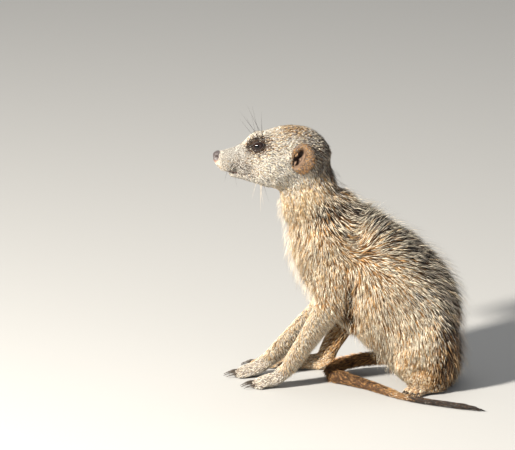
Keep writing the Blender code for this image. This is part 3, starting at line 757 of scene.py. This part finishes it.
# ---- Claws -----------------------------------------------------------------
# Long dark horn claws for digging, one on each toe: each is drawn finer from
# the solid's own claw, rounded, and set in the end of its toe.
CLAW_SLENDER = 0.62  # its thickness, as a part of the solid's
CLAW_SMOOTH, CLAW_ROUNDS = 0.4, 2
CLAW_SAME_POINT = 0.00001  # metres
EVERY_AXIS = {f"use_axis_{axis}": True for axis in "xyz"}
HORN_DARK, HORN_PALE = (0.012, 0.010, 0.009, 1), (0.09, 0.065, 0.045, 1)
claw_material, shader = new_material("claw_horn", 0.34)
claw_coords = add(claw_material, "TexCoord")
claw_map = add(claw_material, "Mapping", Scale=(350, 2400, 2400))
streaks = add(claw_material, "TexNoise", Scale=1.0, Detail=4.0)
claw_ramp = add(claw_material, "ValToRGB")
for stop, place, tint in zip(claw_ramp.color_ramp.elements, (0.35, 0.75), (HORN_DARK, HORN_PALE)):
    stop.position = place
    stop.color = tint
claw_bump = add(claw_material, "Bump", Strength=0.3, Distance=0.0002)
wire(
    (claw_coords, "Object", claw_map, "Vector"), (claw_map, "Vector", streaks, "Vector"),
    (streaks, "Fac", claw_ramp, "Fac"), (claw_ramp, "Color", shader, "Base Color"),
    (streaks, "Fac", claw_bump, "Height"), (claw_bump, "Normal", shader, "Normal"),
)
for node in [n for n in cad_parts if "claw" in n]:
    claw = show(f"horn_{node}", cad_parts[node].data.copy())
    shape = bmesh.new()
    shape.from_mesh(claw.data)
    bmesh.ops.remove_doubles(shape, verts=shape.verts, dist=CLAW_SAME_POINT)
    points = np.array([v.co for v in shape.verts])
    centre = points.mean(0)
    along = np.linalg.svd(points - centre)[2][0]
    reach = (points - centre) @ along
    fit = np.polynomial.Polynomial.fit(reach, points[:, 2], 2)  # the claw's own curve
    for v, r, point in zip(shape.verts, reach, points):
        core = centre + along * r
        core[2] = fit(r)
        v.co = Vector(core + (point - core) * CLAW_SLENDER)
    bmesh.ops.subdivide_edges(shape, edges=shape.edges, cuts=1, use_grid_fill=True)
    for _ in range(CLAW_ROUNDS):
        bmesh.ops.smooth_vert(shape, verts=shape.verts, factor=CLAW_SMOOTH, **EVERY_AXIS)
    shape.to_mesh(claw.data)
    shape.free()
    claw.data.shade_smooth()
    claw.data.materials.clear()
    claw.data.materials.append(claw_material)
    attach(claw, "root")
    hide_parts(node)


# ---- Comb ------------------------------------------------------------------
# Which way the coat lies: from the nose back over the head, down the neck and
# the limbs, and out from a whorl behind each shoulder over the flank and back.
COMB = (  # place, (x, z) in mm, the way the hairs point there (back, up)
    ("nose_bridge", (-88.6, 168), (1, 0.25)), ("muzzle", (-76, 162), (1, -0.05)),
    ("lip", (-79.5, 157), (1, -0.15)), ("forehead", (-58.5, 186), (1, 0.3)),
    ("crown", (-37.5, 187), (1, 0)), ("hind_crown", (-18.6, 179), (0.7, -0.7)),
    ("nape", (-9.5, 160), (0.3, -0.95)), ("nape_low", (-4, 143), (0.55, -0.83)),
    ("cheek", (-53.6, 166), (0.95, -0.3)), ("jaw", (-65.5, 152), (0.95, -0.3)),
    ("under_ear", (-34, 151), (0.35, -0.93)), ("throat", (-46, 138), (0, -1)),
    ("neck_side", (-25.6, 138), (0.25, -0.97)), ("chest", (-44.5, 106), (0.05, -1)),
    ("chest_low", (-39.6, 68), (0.15, -1)), ("shoulder", (-23.5, 110), (0.05, -1)),
    ("upper_arm", (-25.6, 84), (0.1, -1)), ("elbow", (-16, 62), (0.75, -0.65)),
    ("neck_base", (-2.5, 142), (0.75, -0.5)), ("withers", (18.5, 132), (0.9, -0.4)),
    ("collar", (-14, 126), (0.3, -0.9)), ("above_whorl", (5, 115), (0.4, 0.9)),
    ("saddle", (15, 124), (0.85, 0.3)), ("back", (57, 108), (0.8, -0.6)),
    ("low_back", (76.6, 76), (0.3, -0.95)), ("flank", (36, 67), (0.55, -0.83)),
    ("mid_flank", (50, 95), (0.93, -0.35)), ("belly", (15, 60), (0.05, -1)), ("rump", (76.6, 43), (0, -1)),
    ("haunch", (57, 39), (0.3, -0.95)), ("haunch_low", (39.5, 20), (-0.1, -1)),
    ("behind_arm", (-2.5, 75), (0, -1)),
)
COMB_REACH = 13.0  # mm over which one place's way gives over to the next
WHORL, WHORL_REACH, WHORL_PULL = np.array((6.4, 98.5)), 34, 2.6
side_view = skin[:, (0, 2)]
flow = np.zeros((hide_count, 2))
for _, place, way in COMB:
    far = np.sum((side_view - place) ** 2, axis=1)
    flow += np.array(way) / np.hypot(*way) * (np.exp(-far / (2 * COMB_REACH ** 2)) + 1e-6)[:, None]
away = side_view - WHORL
far = np.hypot(away[:, 0], away[:, 1])[:, None]
spread = away / np.maximum(far, 0.5)
sector = smooth_step(spread[:, 0] + 0.25 * np.maximum(-spread[:, 1], 0), -0.35, 0.15)[:, None]
flow += spread * WHORL_PULL * sector * np.exp(-(far / WHORL_REACH) ** 2)
flow /= np.maximum(np.hypot(flow[:, 0], flow[:, 1]), 1e-9)[:, None]
ways = np.column_stack((flow[:, 0], np.zeros(hide_count), flow[:, 1]))


def limb_way(start, end, side):
    """From the middle of one node to that of another, as a unit vector."""
    way = node_centre(f"{end}_{side}") - node_centre(f"{start}_{side}")
    return way / np.linalg.norm(way)


SWEEP = np.array((1.15, 0, 0))  # a forearm's hair is swept across it to its rear edge
LIMB_PULL, TAIL_PULL, WAY_BLEND = 3, 6, 8
LIMB_WAYS = {  # on the left limb and on the right one
    "forearm": [limb_way("forearm", "forepaw", side) + SWEEP for side in TURN],
    "forepaw": [(-1, 0, -0.1), (-1, 0, -0.1)],
    "shin": [limb_way("thigh", "shin", side) for side in TURN],
    "hindpaw": [(-0.8, -0.5, 0), (-1, 0.1, 0)],
}
TAIL_WAYS = {  # where the tail lies behind the middle of the body, and where it lies ahead of it
    "tail_base": ((-1, 0.1, -0.3), (-0.2, -1, 0)), "tail_middle": ((0.85, -0.5, 0), (0.5, -0.85, 0)),
    "tail_tip": ((0.92, -0.38, 0), (0.92, -0.38, 0)),
}
for group, pair in LIMB_WAYS.items():
    ways += LIMB_PULL * share[group][:, None] * np.where((skin[:, 1] < MIDDLE)[:, None], *pair)
for group, pair in TAIL_WAYS.items():
    ways += TAIL_PULL * share[group][:, None] * np.where((skin[:, 0] > 0)[:, None], *pair)
ways = blended(ways, WAY_BLEND)


# ---- Coat ------------------------------------------------------------------
# Short coarse hair in thin pointed locks, thick at the root and lying back
# along the body. The locks are dealt in turn into layers over the whole body.
COAT_LAYERS = 9
SEED = 11
UNDER_BUDGET, OUTER_BUDGET = 128000, 104000
LOCKS = {  # locks of undercoat on a square mm, and the outer locks' length and width in mm
    "nose": (0, 1, 0.2), "head": (3.6, 4.0, 0.28), "jaw": (3.6, 3.2, 0.27), "neck": (2.2, 8.6, 0.27),
    "trunk": (1.7, 13.0, 0.32), "arm": (2.2, 9.5, 0.31), "forearm": (3.2, 5.5, 0.29),
    "forepaw": (3.4, 2.8, 0.27), "thigh": (1.8, 11.0, 0.32), "shin": (2.6, 5.4, 0.34),
    "hindpaw": (3.0, 2.8, 0.28), "tail_base": (2.2, 6.0, 0.36), "tail_middle": (2.6, 4.5, 0.34),
    "tail_tip": (3.0, 5.0, 0.38),
}
UNDER_LENGTH, UNDER_WIDTH, UNDER_DEPTH = 0.74, 1.3, 0.62  # as parts of the outer hair's
LOCK_FULLNESS = 0.36  # how much of its length times width a lock covers
draw = np.random.default_rng(SEED)
hide_mesh.calc_loop_triangles()
corner = read(hide_mesh.loop_triangles, "vertices", 3, np.int32)
loop_corner = read(hide_mesh.loop_triangles, "loops", 3, np.int32)
unwrap = read(hide_mesh.uv_layers["OFBake"].data, "uv", 2)

# No hair on the lids, nose pad, lips and soles. It is shorter round the eyes,
# on the muzzle, low on the body, at the knees and in the hollow of the arm.
MUZZLE_SHORT, MUZZLE_FINE, MUZZLE_THICK = 0.62, 0.32, 0.5
KNEE_SHORT, HOLLOW_SHORT, CLEFT_BARE = 0.45, 0.5, 0.75
bare = np.maximum(smooth_step(-lid_ring, -1.18, -1.10), np.maximum(pad, lips)[:, 0])
near_eye = smooth_step(lid_ring, 1.15, 3.0)  # 0 at the lids, 1 away from the eye
sole = smooth_step(-skin[:, 2], -1.2, -0.8) * smooth_step(-normals[:, 2], 0.5, 0.8)
long_haired = share["thigh"] + share["trunk"] + share["shin"]
hem = smooth_step(skin[:, 2], 5, 24) + smooth_step(-long_haired, -0.5, -0.1)
knee = smooth_step(np.abs(skin[:, 1] - MIDDLE), 34, 41)
under_here, length_here, width_here = (per_group(LOCKS, k) for k in range(3))
length_here = length_here * (1 - MUZZLE_SHORT * muzzle) * (0.4 + 0.6 * near_eye)
length_here *= 0.4 + 0.6 * np.minimum(hem, 1)
length_here *= (1 - KNEE_SHORT * knee) * (1 - HOLLOW_SHORT * hollow)
width_here = width_here * (1 - MUZZLE_FINE * muzzle) * (0.7 + 0.3 * near_eye)
depth_here = depth * (0.35 + 0.65 * near_eye) * (1 - 0.4 * knee)
furred = (1 - bare) * (1 - sole) * (1 - smooth_step(share["nose"], 0.3, 0.6)) * (1 - CLEFT_BARE * cleft)
under_thick = under_here * furred * (1 + MUZZLE_THICK * muzzle)
gaps = -np.log(np.clip(dark_share[:, 0], 0.05, 0.95))  # layers of outer hair that leave this share open
outer_thick = gaps / (LOCK_FULLNESS * length_here * width_here) * furred
a, b, c = (skin[corner[:, k]] for k in range(3))
area = np.linalg.norm(np.cross(b - a, c - a), axis=1) / 2


def scatter(thickness, budget):
    """Triangles of the hide that carry a lock, one for each lock."""
    wanted = area * thickness[corner].mean(1)
    count = min(int(wanted.sum()), budget)
    ladder = np.cumsum(wanted)
    ticks = (np.arange(count) + draw.random(count)) * ladder[-1] / count
    return np.minimum(np.searchsorted(ladder, ticks), len(corner) - 1)


under_spots, outer_spots = scatter(under_thick, UNDER_BUDGET), scatter(outer_thick, OUTER_BUDGET)
chosen = np.concatenate((under_spots, outer_spots))
is_under = np.arange(len(chosen)) < len(under_spots)
r1, r2 = np.sqrt(draw.random(len(chosen))), draw.random(len(chosen))
weights = np.column_stack((1 - r1, r1 * (1 - r2), r1 * r2))


def at_roots(values, corners=corner):
    """A value of the hide's points at the root of each lock."""
    return np.einsum("ij,ijk->ik", weights, values[corners[chosen]])


grown = {
    "root": at_roots(skin), "out": at_roots(normals), "way": at_roots(ways),
    "uv": at_roots(unwrap, loop_corner), "outer": at_roots(outer_mix), "dark": at_roots(dark_mix),
    "share": at_roots(dark_share), "length": at_roots(length_here[:, None]),
    "width": at_roots(width_here[:, None]), "depth": at_roots(depth_here[:, None]),
    "under": is_under[:, None] * 1.0,
}
EAR_CLEAR = (6.6, 6.0, 9.2)  # mm round the middle of each ear that the hide's hair keeps clear of
in_ear = np.zeros(len(chosen), bool)
for rings in ears.values():
    away = (grown["root"] - np.array(rings).reshape(-1, 3).mean(0)) / EAR_CLEAR
    in_ear |= np.linalg.norm(away, axis=1) < 1
grown = {key: value[~in_ear] for key, value in grown.items()}
hide_roots = grown["root"]


def nearest_of(spots, sought):
    """For each sought point, the number of the nearest spot."""
    tree = KDTree(len(spots))
    for i, spot in enumerate(spots.tolist()):
        tree.insert(spot, i)
    tree.balance()
    return np.array([tree.find(p)[1] for p in sought.tolist()])


def grow(more):
    """Adds more locks to the ones that are there."""
    for key, value in more.items():
        grown[key] = np.concatenate((grown[key], value))


# Down on the rim and the back of each ear.
EAR_HAIRS = 5200
DOWN_START, DOWN_REACH = 0.38, 0.58  # how far before the rim's end it starts, and how far it goes
DOWN_WAY = np.array((0.7, 0, -0.5))
for turn, rings in ears.items():
    grid = np.array(rings)
    row = (RIM_END - DOWN_START + DOWN_REACH * draw.random(EAR_HAIRS)) * EAR_STEPS
    column = draw.random(EAR_HAIRS) * EAR_ROUND
    j, i = row.astype(int), column.astype(int)
    dj, di = (row - j)[:, None], (column - i)[:, None]
    near, far = grid[j, i % EAR_ROUND], grid[j, (i + 1) % EAR_ROUND]
    up_near, up_far = grid[j + 1, i % EAR_ROUND], grid[j + 1, (i + 1) % EAR_ROUND]
    spot = covered(covered(near, far, di), covered(up_near, up_far, di), dj)
    outward = unit(np.cross(up_near - near, far - near) * turn)
    outward *= np.sign(np.sum(outward * (spot - grid.mean((0, 1))), axis=1) + 0.3)[:, None]
    angle = column / EAR_ROUND * 2 * math.pi
    radial = np.column_stack((np.cos(angle), np.zeros(EAR_HAIRS), np.sin(angle)))
    full = np.ones((EAR_HAIRS, 1))
    grow({
        "root": spot, "out": outward, "way": radial * 0.6 + DOWN_WAY,
        "uv": grown["uv"][nearest_of(hide_roots, spot)], "outer": full * mix(gold=4, grey=6),
        "dark": full * mix(umber=8, gold=1), "share": full * 0.5,
        "length": full * 2.0, "width": full * 0.27, "depth": full * 0.6,
        "under": (draw.random((EAR_HAIRS, 1)) < 0.45) * 1.0,
    })

# Longer single hairs that stand clear of the chest, the nape and the back.
STRAY_HAIRS = 5200
STRAY_LENGTH, STRAY_WIDTH, STRAY_DEPTH = 1.35, 0.42, 2.3  # as parts of the hair they stand in
STRAY_FROM, STRAY_WITHIN = 6.0, 36  # only in hair this long, and this near the middle
facing = grown["out"][:, 0]
off_middle = np.abs(grown["root"][:, 1] - MIDDLE)
front = smooth_step(-facing, 0.35, 0.9) * (grown["root"][:, 2] > 60)
rear = smooth_step(facing, 0.25, 0.8)
chance = (grown["length"][:, 0] > STRAY_FROM) & (off_middle < STRAY_WITHIN)
chance = chance * (0.15 + front + 1.3 * rear)
picked = draw.choice(len(chance), STRAY_HAIRS, replace=False, p=chance / chance.sum())
more = {key: value[picked] for key, value in grown.items()}
more["length"] *= STRAY_LENGTH
more["width"] *= STRAY_WIDTH
more["depth"] *= STRAY_DEPTH
more["under"] = (draw.random((STRAY_HAIRS, 1)) < more["share"] * 0.6) * 1.0
grow(more)

# Each lock is a root, a thicker middle and a tip: the stem stands up from the
# hide and the tip bends back along it.
WISP_SHARE = 3  # locks drawn into one wisp
LOCK_CELL = 0.9  # mm
STRAY_ANGLE, BEND_ANGLE = 0.13, 0.08
LIFT, LIFT_RANGE = 1.12, (0.08, 0.75)
STEM_LIFT, STEM_RANGE, STEM_PART = 1.35, (0.08, 1.1), 0.46
TIP_LIFT, TIP_RANGE, TIP_PART = 0.62, (0.02, 0.9), 0.54
EDGE_LIFT, EDGE_DEPTH = 0.45, 6  # thin coat that faces forwards or back lies flatter
ROOT_SUNK, ROOT_PART = 0.4, 0.08  # mm, and as a part of the length
roots, root_uv = grown["root"], grown["uv"]
lock_count = len(roots)
root_out = unit(grown["out"])


def spread_order(spots):
    """An order in which neighbours on the body stand next to each other."""
    cells = ((spots - spots.min(0)) / LOCK_CELL).astype(np.int64)
    code = np.zeros(len(spots), np.int64)
    for bit in range(9):
        for axis in range(3):
            code |= ((cells[:, axis] >> bit) & 1) << (3 * bit + axis)
    return np.argsort(code, kind="stable")


order = spread_order(roots)
leaders = order[::WISP_SHARE]
leader = leaders[nearest_of(roots[leaders], roots)]
is_dark = grown["under"][:, 0] > 0.5
root_mix = np.where(is_dark[:, None], grown["dark"], grown["outer"])
root_length = grown["length"][:, 0] * draw.uniform(0.75, 1.2, lock_count) * np.where(is_dark, UNDER_LENGTH, 1)
root_width = grown["width"][:, 0] * draw.uniform(0.7, 1.3, lock_count) * np.where(is_dark, UNDER_WIDTH, 1)
root_depth = grown["depth"][:, 0] * np.where(is_dark, UNDER_DEPTH, 1)

root_way = unit(grown["way"] - root_out * np.sum(grown["way"] * root_out, axis=1)[:, None])
stray = draw.normal(0, STRAY_ANGLE, lock_count)[:, None]
root_way = root_way * np.cos(stray) + np.cross(root_out, root_way) * np.sin(stray)
beside = np.cross(root_out, root_way)
lift = np.clip(root_depth / root_length * LIFT, *LIFT_RANGE) * draw.uniform(0.8, 1.25, lock_count)
edge_on = smooth_step(np.abs(root_out[:, 0]), 0.35, 0.9) * (root_depth < EDGE_DEPTH)
lift *= 1 - EDGE_LIFT * edge_on
first = np.clip(lift * STEM_LIFT, *STEM_RANGE)[:, None]
second = np.clip(lift * TIP_LIFT, *TIP_RANGE)[:, None]
stem = root_way * np.cos(first) + root_out * np.sin(first)
bend = root_way * np.cos(second) + root_out * np.sin(second)
bend += beside * draw.normal(0, BEND_ANGLE, lock_count)[:, None]
base = roots - root_out * np.minimum(ROOT_SUNK, ROOT_PART * root_length)[:, None]
middle = base + stem * (root_length * STEM_PART)[:, None]
tip = middle + bend * (root_length * TIP_PART)[:, None]

# Neighbouring locks of undercoat draw together into wisps towards their tips.
WISP_PULL, WISP_TIP, WISP_MIDDLE = 0.42, 0.9, 0.45
LOCK_RISE = 0.7  # how high a lock's middle stands, as a part of its half width
FLOOR_CLEARANCE = 0.2  # mm, hair under the animal lies flat on the floor
pull = (WISP_PULL * draw.uniform(0.6, 1.2, lock_count) * is_dark)[:, None]
tip = tip + pull * (tip[leader] - tip) * WISP_TIP
middle = middle + WISP_MIDDLE * pull * (middle[leader] - middle)
top = unit(np.cross(tip - base, beside))
wide = (root_width / 2)[:, None]
ridge = middle + top * wide * LOCK_RISE
locks = np.stack((base, middle + beside * wide, ridge, middle - beside * wide, tip), 1)
locks[:, :, 2] = np.maximum(locks[:, :, 2], FLOOR_CLEARANCE)

# The colour of each lock: one kind of hair from the mixture, darker at its root, partly the hair's own darker
# base and partly painted shade deep in the coat, and lighter at its tip as painted light.
WISP_LIKENESS = 0.75  # the share of long hairs that are of the same kind as their wisp
WISP_LIGHT, WISP_SWING = 0.95, 0.29
DARK_ROOT, PALE_ROOT, MIDDLE_SHADE, TIP_SHADE = 0.5, 0.4, 0.90, 1.15
pick = draw.random(lock_count)
long_hair = smooth_step(root_length, 3.5, 8.0)  # short hair lies evenly, long hair in wisps
pick = np.where(draw.random(lock_count) < WISP_LIKENESS * long_hair, draw.random(lock_count)[leader], pick)
kind = np.minimum((np.cumsum(root_mix, axis=1) < pick[:, None]).sum(1), len(HAIRS) - 1)
swing = draw.uniform(-WISP_SWING, WISP_SWING, lock_count)[leader]
wisp_light = WISP_LIGHT + swing * (0.3 + 0.7 * long_hair)
own = HAIR_COLOURS[kind] * (wisp_light * draw.uniform(0.9, 1.1, lock_count))[:, None]
root_shade = np.where(is_dark[:, None], DARK_ROOT * (grown["dark"] @ HAIR_COLOURS), PALE_ROOT * own)
colours = np.stack((root_shade, *[own * MIDDLE_SHADE] * 3, own * TIP_SHADE), 1)
colours = np.clip(colours, 0, 1)

coat_material, shader = new_material("coat_hair", 0.55, 0.35)
hair_tone = tone_of(coat_material, "hair_tone")
hair_coords = add(coat_material, "TexCoord")
clumps = add(coat_material, "TexNoise", Scale=260.0, Detail=2.0)
clump_range = add(coat_material, "MapRange", From_Min=0.3, From_Max=0.7, To_Min=0.86, To_Max=1.10)
shade = add(coat_material, "VectorMath", operation="SCALE")
wire(
    (hair_coords, "Object", clumps, "Vector"), (clumps, "Fac", clump_range, "Value"),
    (hair_tone, "Color", shade, 0), (clump_range, "Result", shade, "Scale"),
    (shade, "Vector", shader, "Base Color"),
)

# Each lock's patch of the bake map lies where its root does on the hide's.
LOCK_FACES = np.array(((0, 2, 1), (0, 3, 2), (0, 1, 3), (1, 2, 4), (2, 3, 4), (3, 1, 4)))
PATCH = 0.0030
PATCH_SPOTS = np.array(((0, -0.5), (-0.5, 0), (0, 0.1), (0.5, 0), (0, 0.5))) * PATCH
for layer_number in range(COAT_LAYERS):
    dealt = order[layer_number::COAT_LAYERS]
    count = len(dealt)
    corners = (LOCK_FACES[None] + (np.arange(count) * 5)[:, None, None]).reshape(-1, 3)
    mesh = bpy.data.meshes.new(f"coat_layer_{layer_number + 1}")
    mesh.vertices.add(count * 5)
    mesh.vertices.foreach_set("co", (locks[dealt] * MM).ravel())
    mesh.loops.add(corners.size)
    mesh.loops.foreach_set("vertex_index", corners.ravel().astype(np.int32))
    mesh.polygons.add(len(corners))
    mesh.polygons.foreach_set("loop_start", np.arange(0, corners.size, 3, dtype=np.int32))
    mesh.update(calc_edges=True)
    mesh.shade_smooth()
    paint(mesh, "hair_tone", colours[dealt].reshape(-1, 3))
    patches = (root_uv[dealt][:, None] + PATCH_SPOTS[None]).reshape(-1, 2)
    bake = mesh.uv_layers.new(name="OFBake")
    bake.data.foreach_set("uv", np.clip(patches, 0.001, 0.999)[corners.ravel()].ravel())
    mesh.materials.append(coat_material)
    layer = show(mesh.name, mesh)
    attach(layer, "root")


# ---- Whiskers --------------------------------------------------------------
# Long stiff bristles, each a single tapered shaft with a slight bow: black over
# the brows and on the lips, mostly pale under the chin and cheek.
WHISKERS = (  # root (x, off the middle, z) in mm, the way it points (back, out, up), length, dark
    ((-63.5, 10.0, 181.5), (-0.30, 0.20, 0.93), 21, True),
    ((-62.0, 11.0, 181.8), (-0.48, 0.35, 0.80), 24, True),
    ((-64.5, 9.0, 180.8), (-0.62, 0.15, 0.76), 22, True),
    ((-60.5, 11.5, 182.0), (-0.12, 0.40, 0.90), 16, True),
    ((-82.0, 8.8, 160.5), (-0.10, 0.90, -0.35), 17, True),
    ((-79.0, 9.3, 161.5), (0.25, 0.92, -0.25), 20, True),
    ((-76.5, 9.8, 159.5), (0.45, 0.85, -0.35), 21, True),
    ((-84.0, 8.0, 158.6), (-0.25, 0.80, -0.50), 14, True),
    ((-74.0, 10.2, 161.5), (0.60, 0.80, -0.10), 18, True),
    ((-80.5, 9.0, 157.8), (0.10, 0.75, -0.65), 16, True),
    ((-62.0, 10.0, 148.5), (0.10, 0.25, -0.96), 17, False),
    ((-60.5, 11.0, 148.8), (-0.12, 0.35, -0.93), 21, False),
    ((-59.0, 11.5, 149.4), (0.22, 0.45, -0.86), 14, True),
    ((-64.5, 9.0, 147.6), (-0.35, 0.25, -0.90), 12, False),
)
WHISKER_RADIUS, WHISKER_TAPER = 0.13, 0.86
WHISKER_RINGS, WHISKER_SIDES = 10, 5
WHISKER_SUNK, WHISKER_BOW = 0.6, 0.13
BOW_WAY = Vector((0.5, 0, -0.25))
WHISKER_TONES = {True: (0.014, 0.011, 0.010), False: (0.52, 0.44, 0.33)}
hide_finder = BVHTree.FromPolygons(skin.tolist(), [tuple(p.vertices) for p in hide_mesh.polygons])
whisker_points, whisker_faces, whisker_tones, whisker_spots = [], [], [], []
for turn in TURN.values():
    for (wx, wy, wz), way, length, dark in WHISKERS:
        start, _, root_face, _ = hide_finder.find_nearest((wx, MIDDLE + turn * wy, wz))
        root_spot = unwrap[hide_mesh.polygons[root_face].loop_start]
        aim = Vector((way[0], turn * way[1], way[2])).normalized()
        side_way = aim.cross(Vector((0, 0, 1))).normalized()
        other = aim.cross(side_way)
        rows = []
        for ring in range(WHISKER_RINGS):
            t = ring / (WHISKER_RINGS - 1)
            spot = start + aim * (length * t - WHISKER_SUNK) + BOW_WAY * (WHISKER_BOW * length * t * t)
            radius = WHISKER_RADIUS * (1 - WHISKER_TAPER * t)
            rows.append(range(len(whisker_points), len(whisker_points) + WHISKER_SIDES))
            for k in range(WHISKER_SIDES):
                angle = 2 * math.pi * k / WHISKER_SIDES
                around = side_way * math.cos(angle) + other * math.sin(angle)
                whisker_points.append((spot + around * radius) * MM)
                whisker_spots.append(root_spot + PATCH * np.array((0.5 * math.cos(angle), t - 0.5)))
                whisker_tones.append(WHISKER_TONES[dark])
        for low, high in zip(rows, rows[1:]):
            for k in range(WHISKER_SIDES):
                next_k = (k + 1) % WHISKER_SIDES
                whisker_faces.append((low[k], low[next_k], high[next_k], high[k]))
        whisker_faces += [tuple(rows[0])[::-1], tuple(rows[-1])]
whisker_mesh = bpy.data.meshes.new("whiskers")
whisker_mesh.from_pydata(whisker_points, [], whisker_faces)
paint(whisker_mesh, "hair_tone", whisker_tones)
whisker_bake = whisker_mesh.uv_layers.new(name="OFBake")
whisker_corners = [i for polygon in whisker_mesh.polygons for i in polygon.vertices]
whisker_bake.data.foreach_set("uv", np.array(whisker_spots)[whisker_corners].ravel())
whisker_mesh.shade_smooth()
whisker_mesh.materials.append(coat_material)
whiskers = show("whiskers", whisker_mesh)
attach(whiskers, "root")
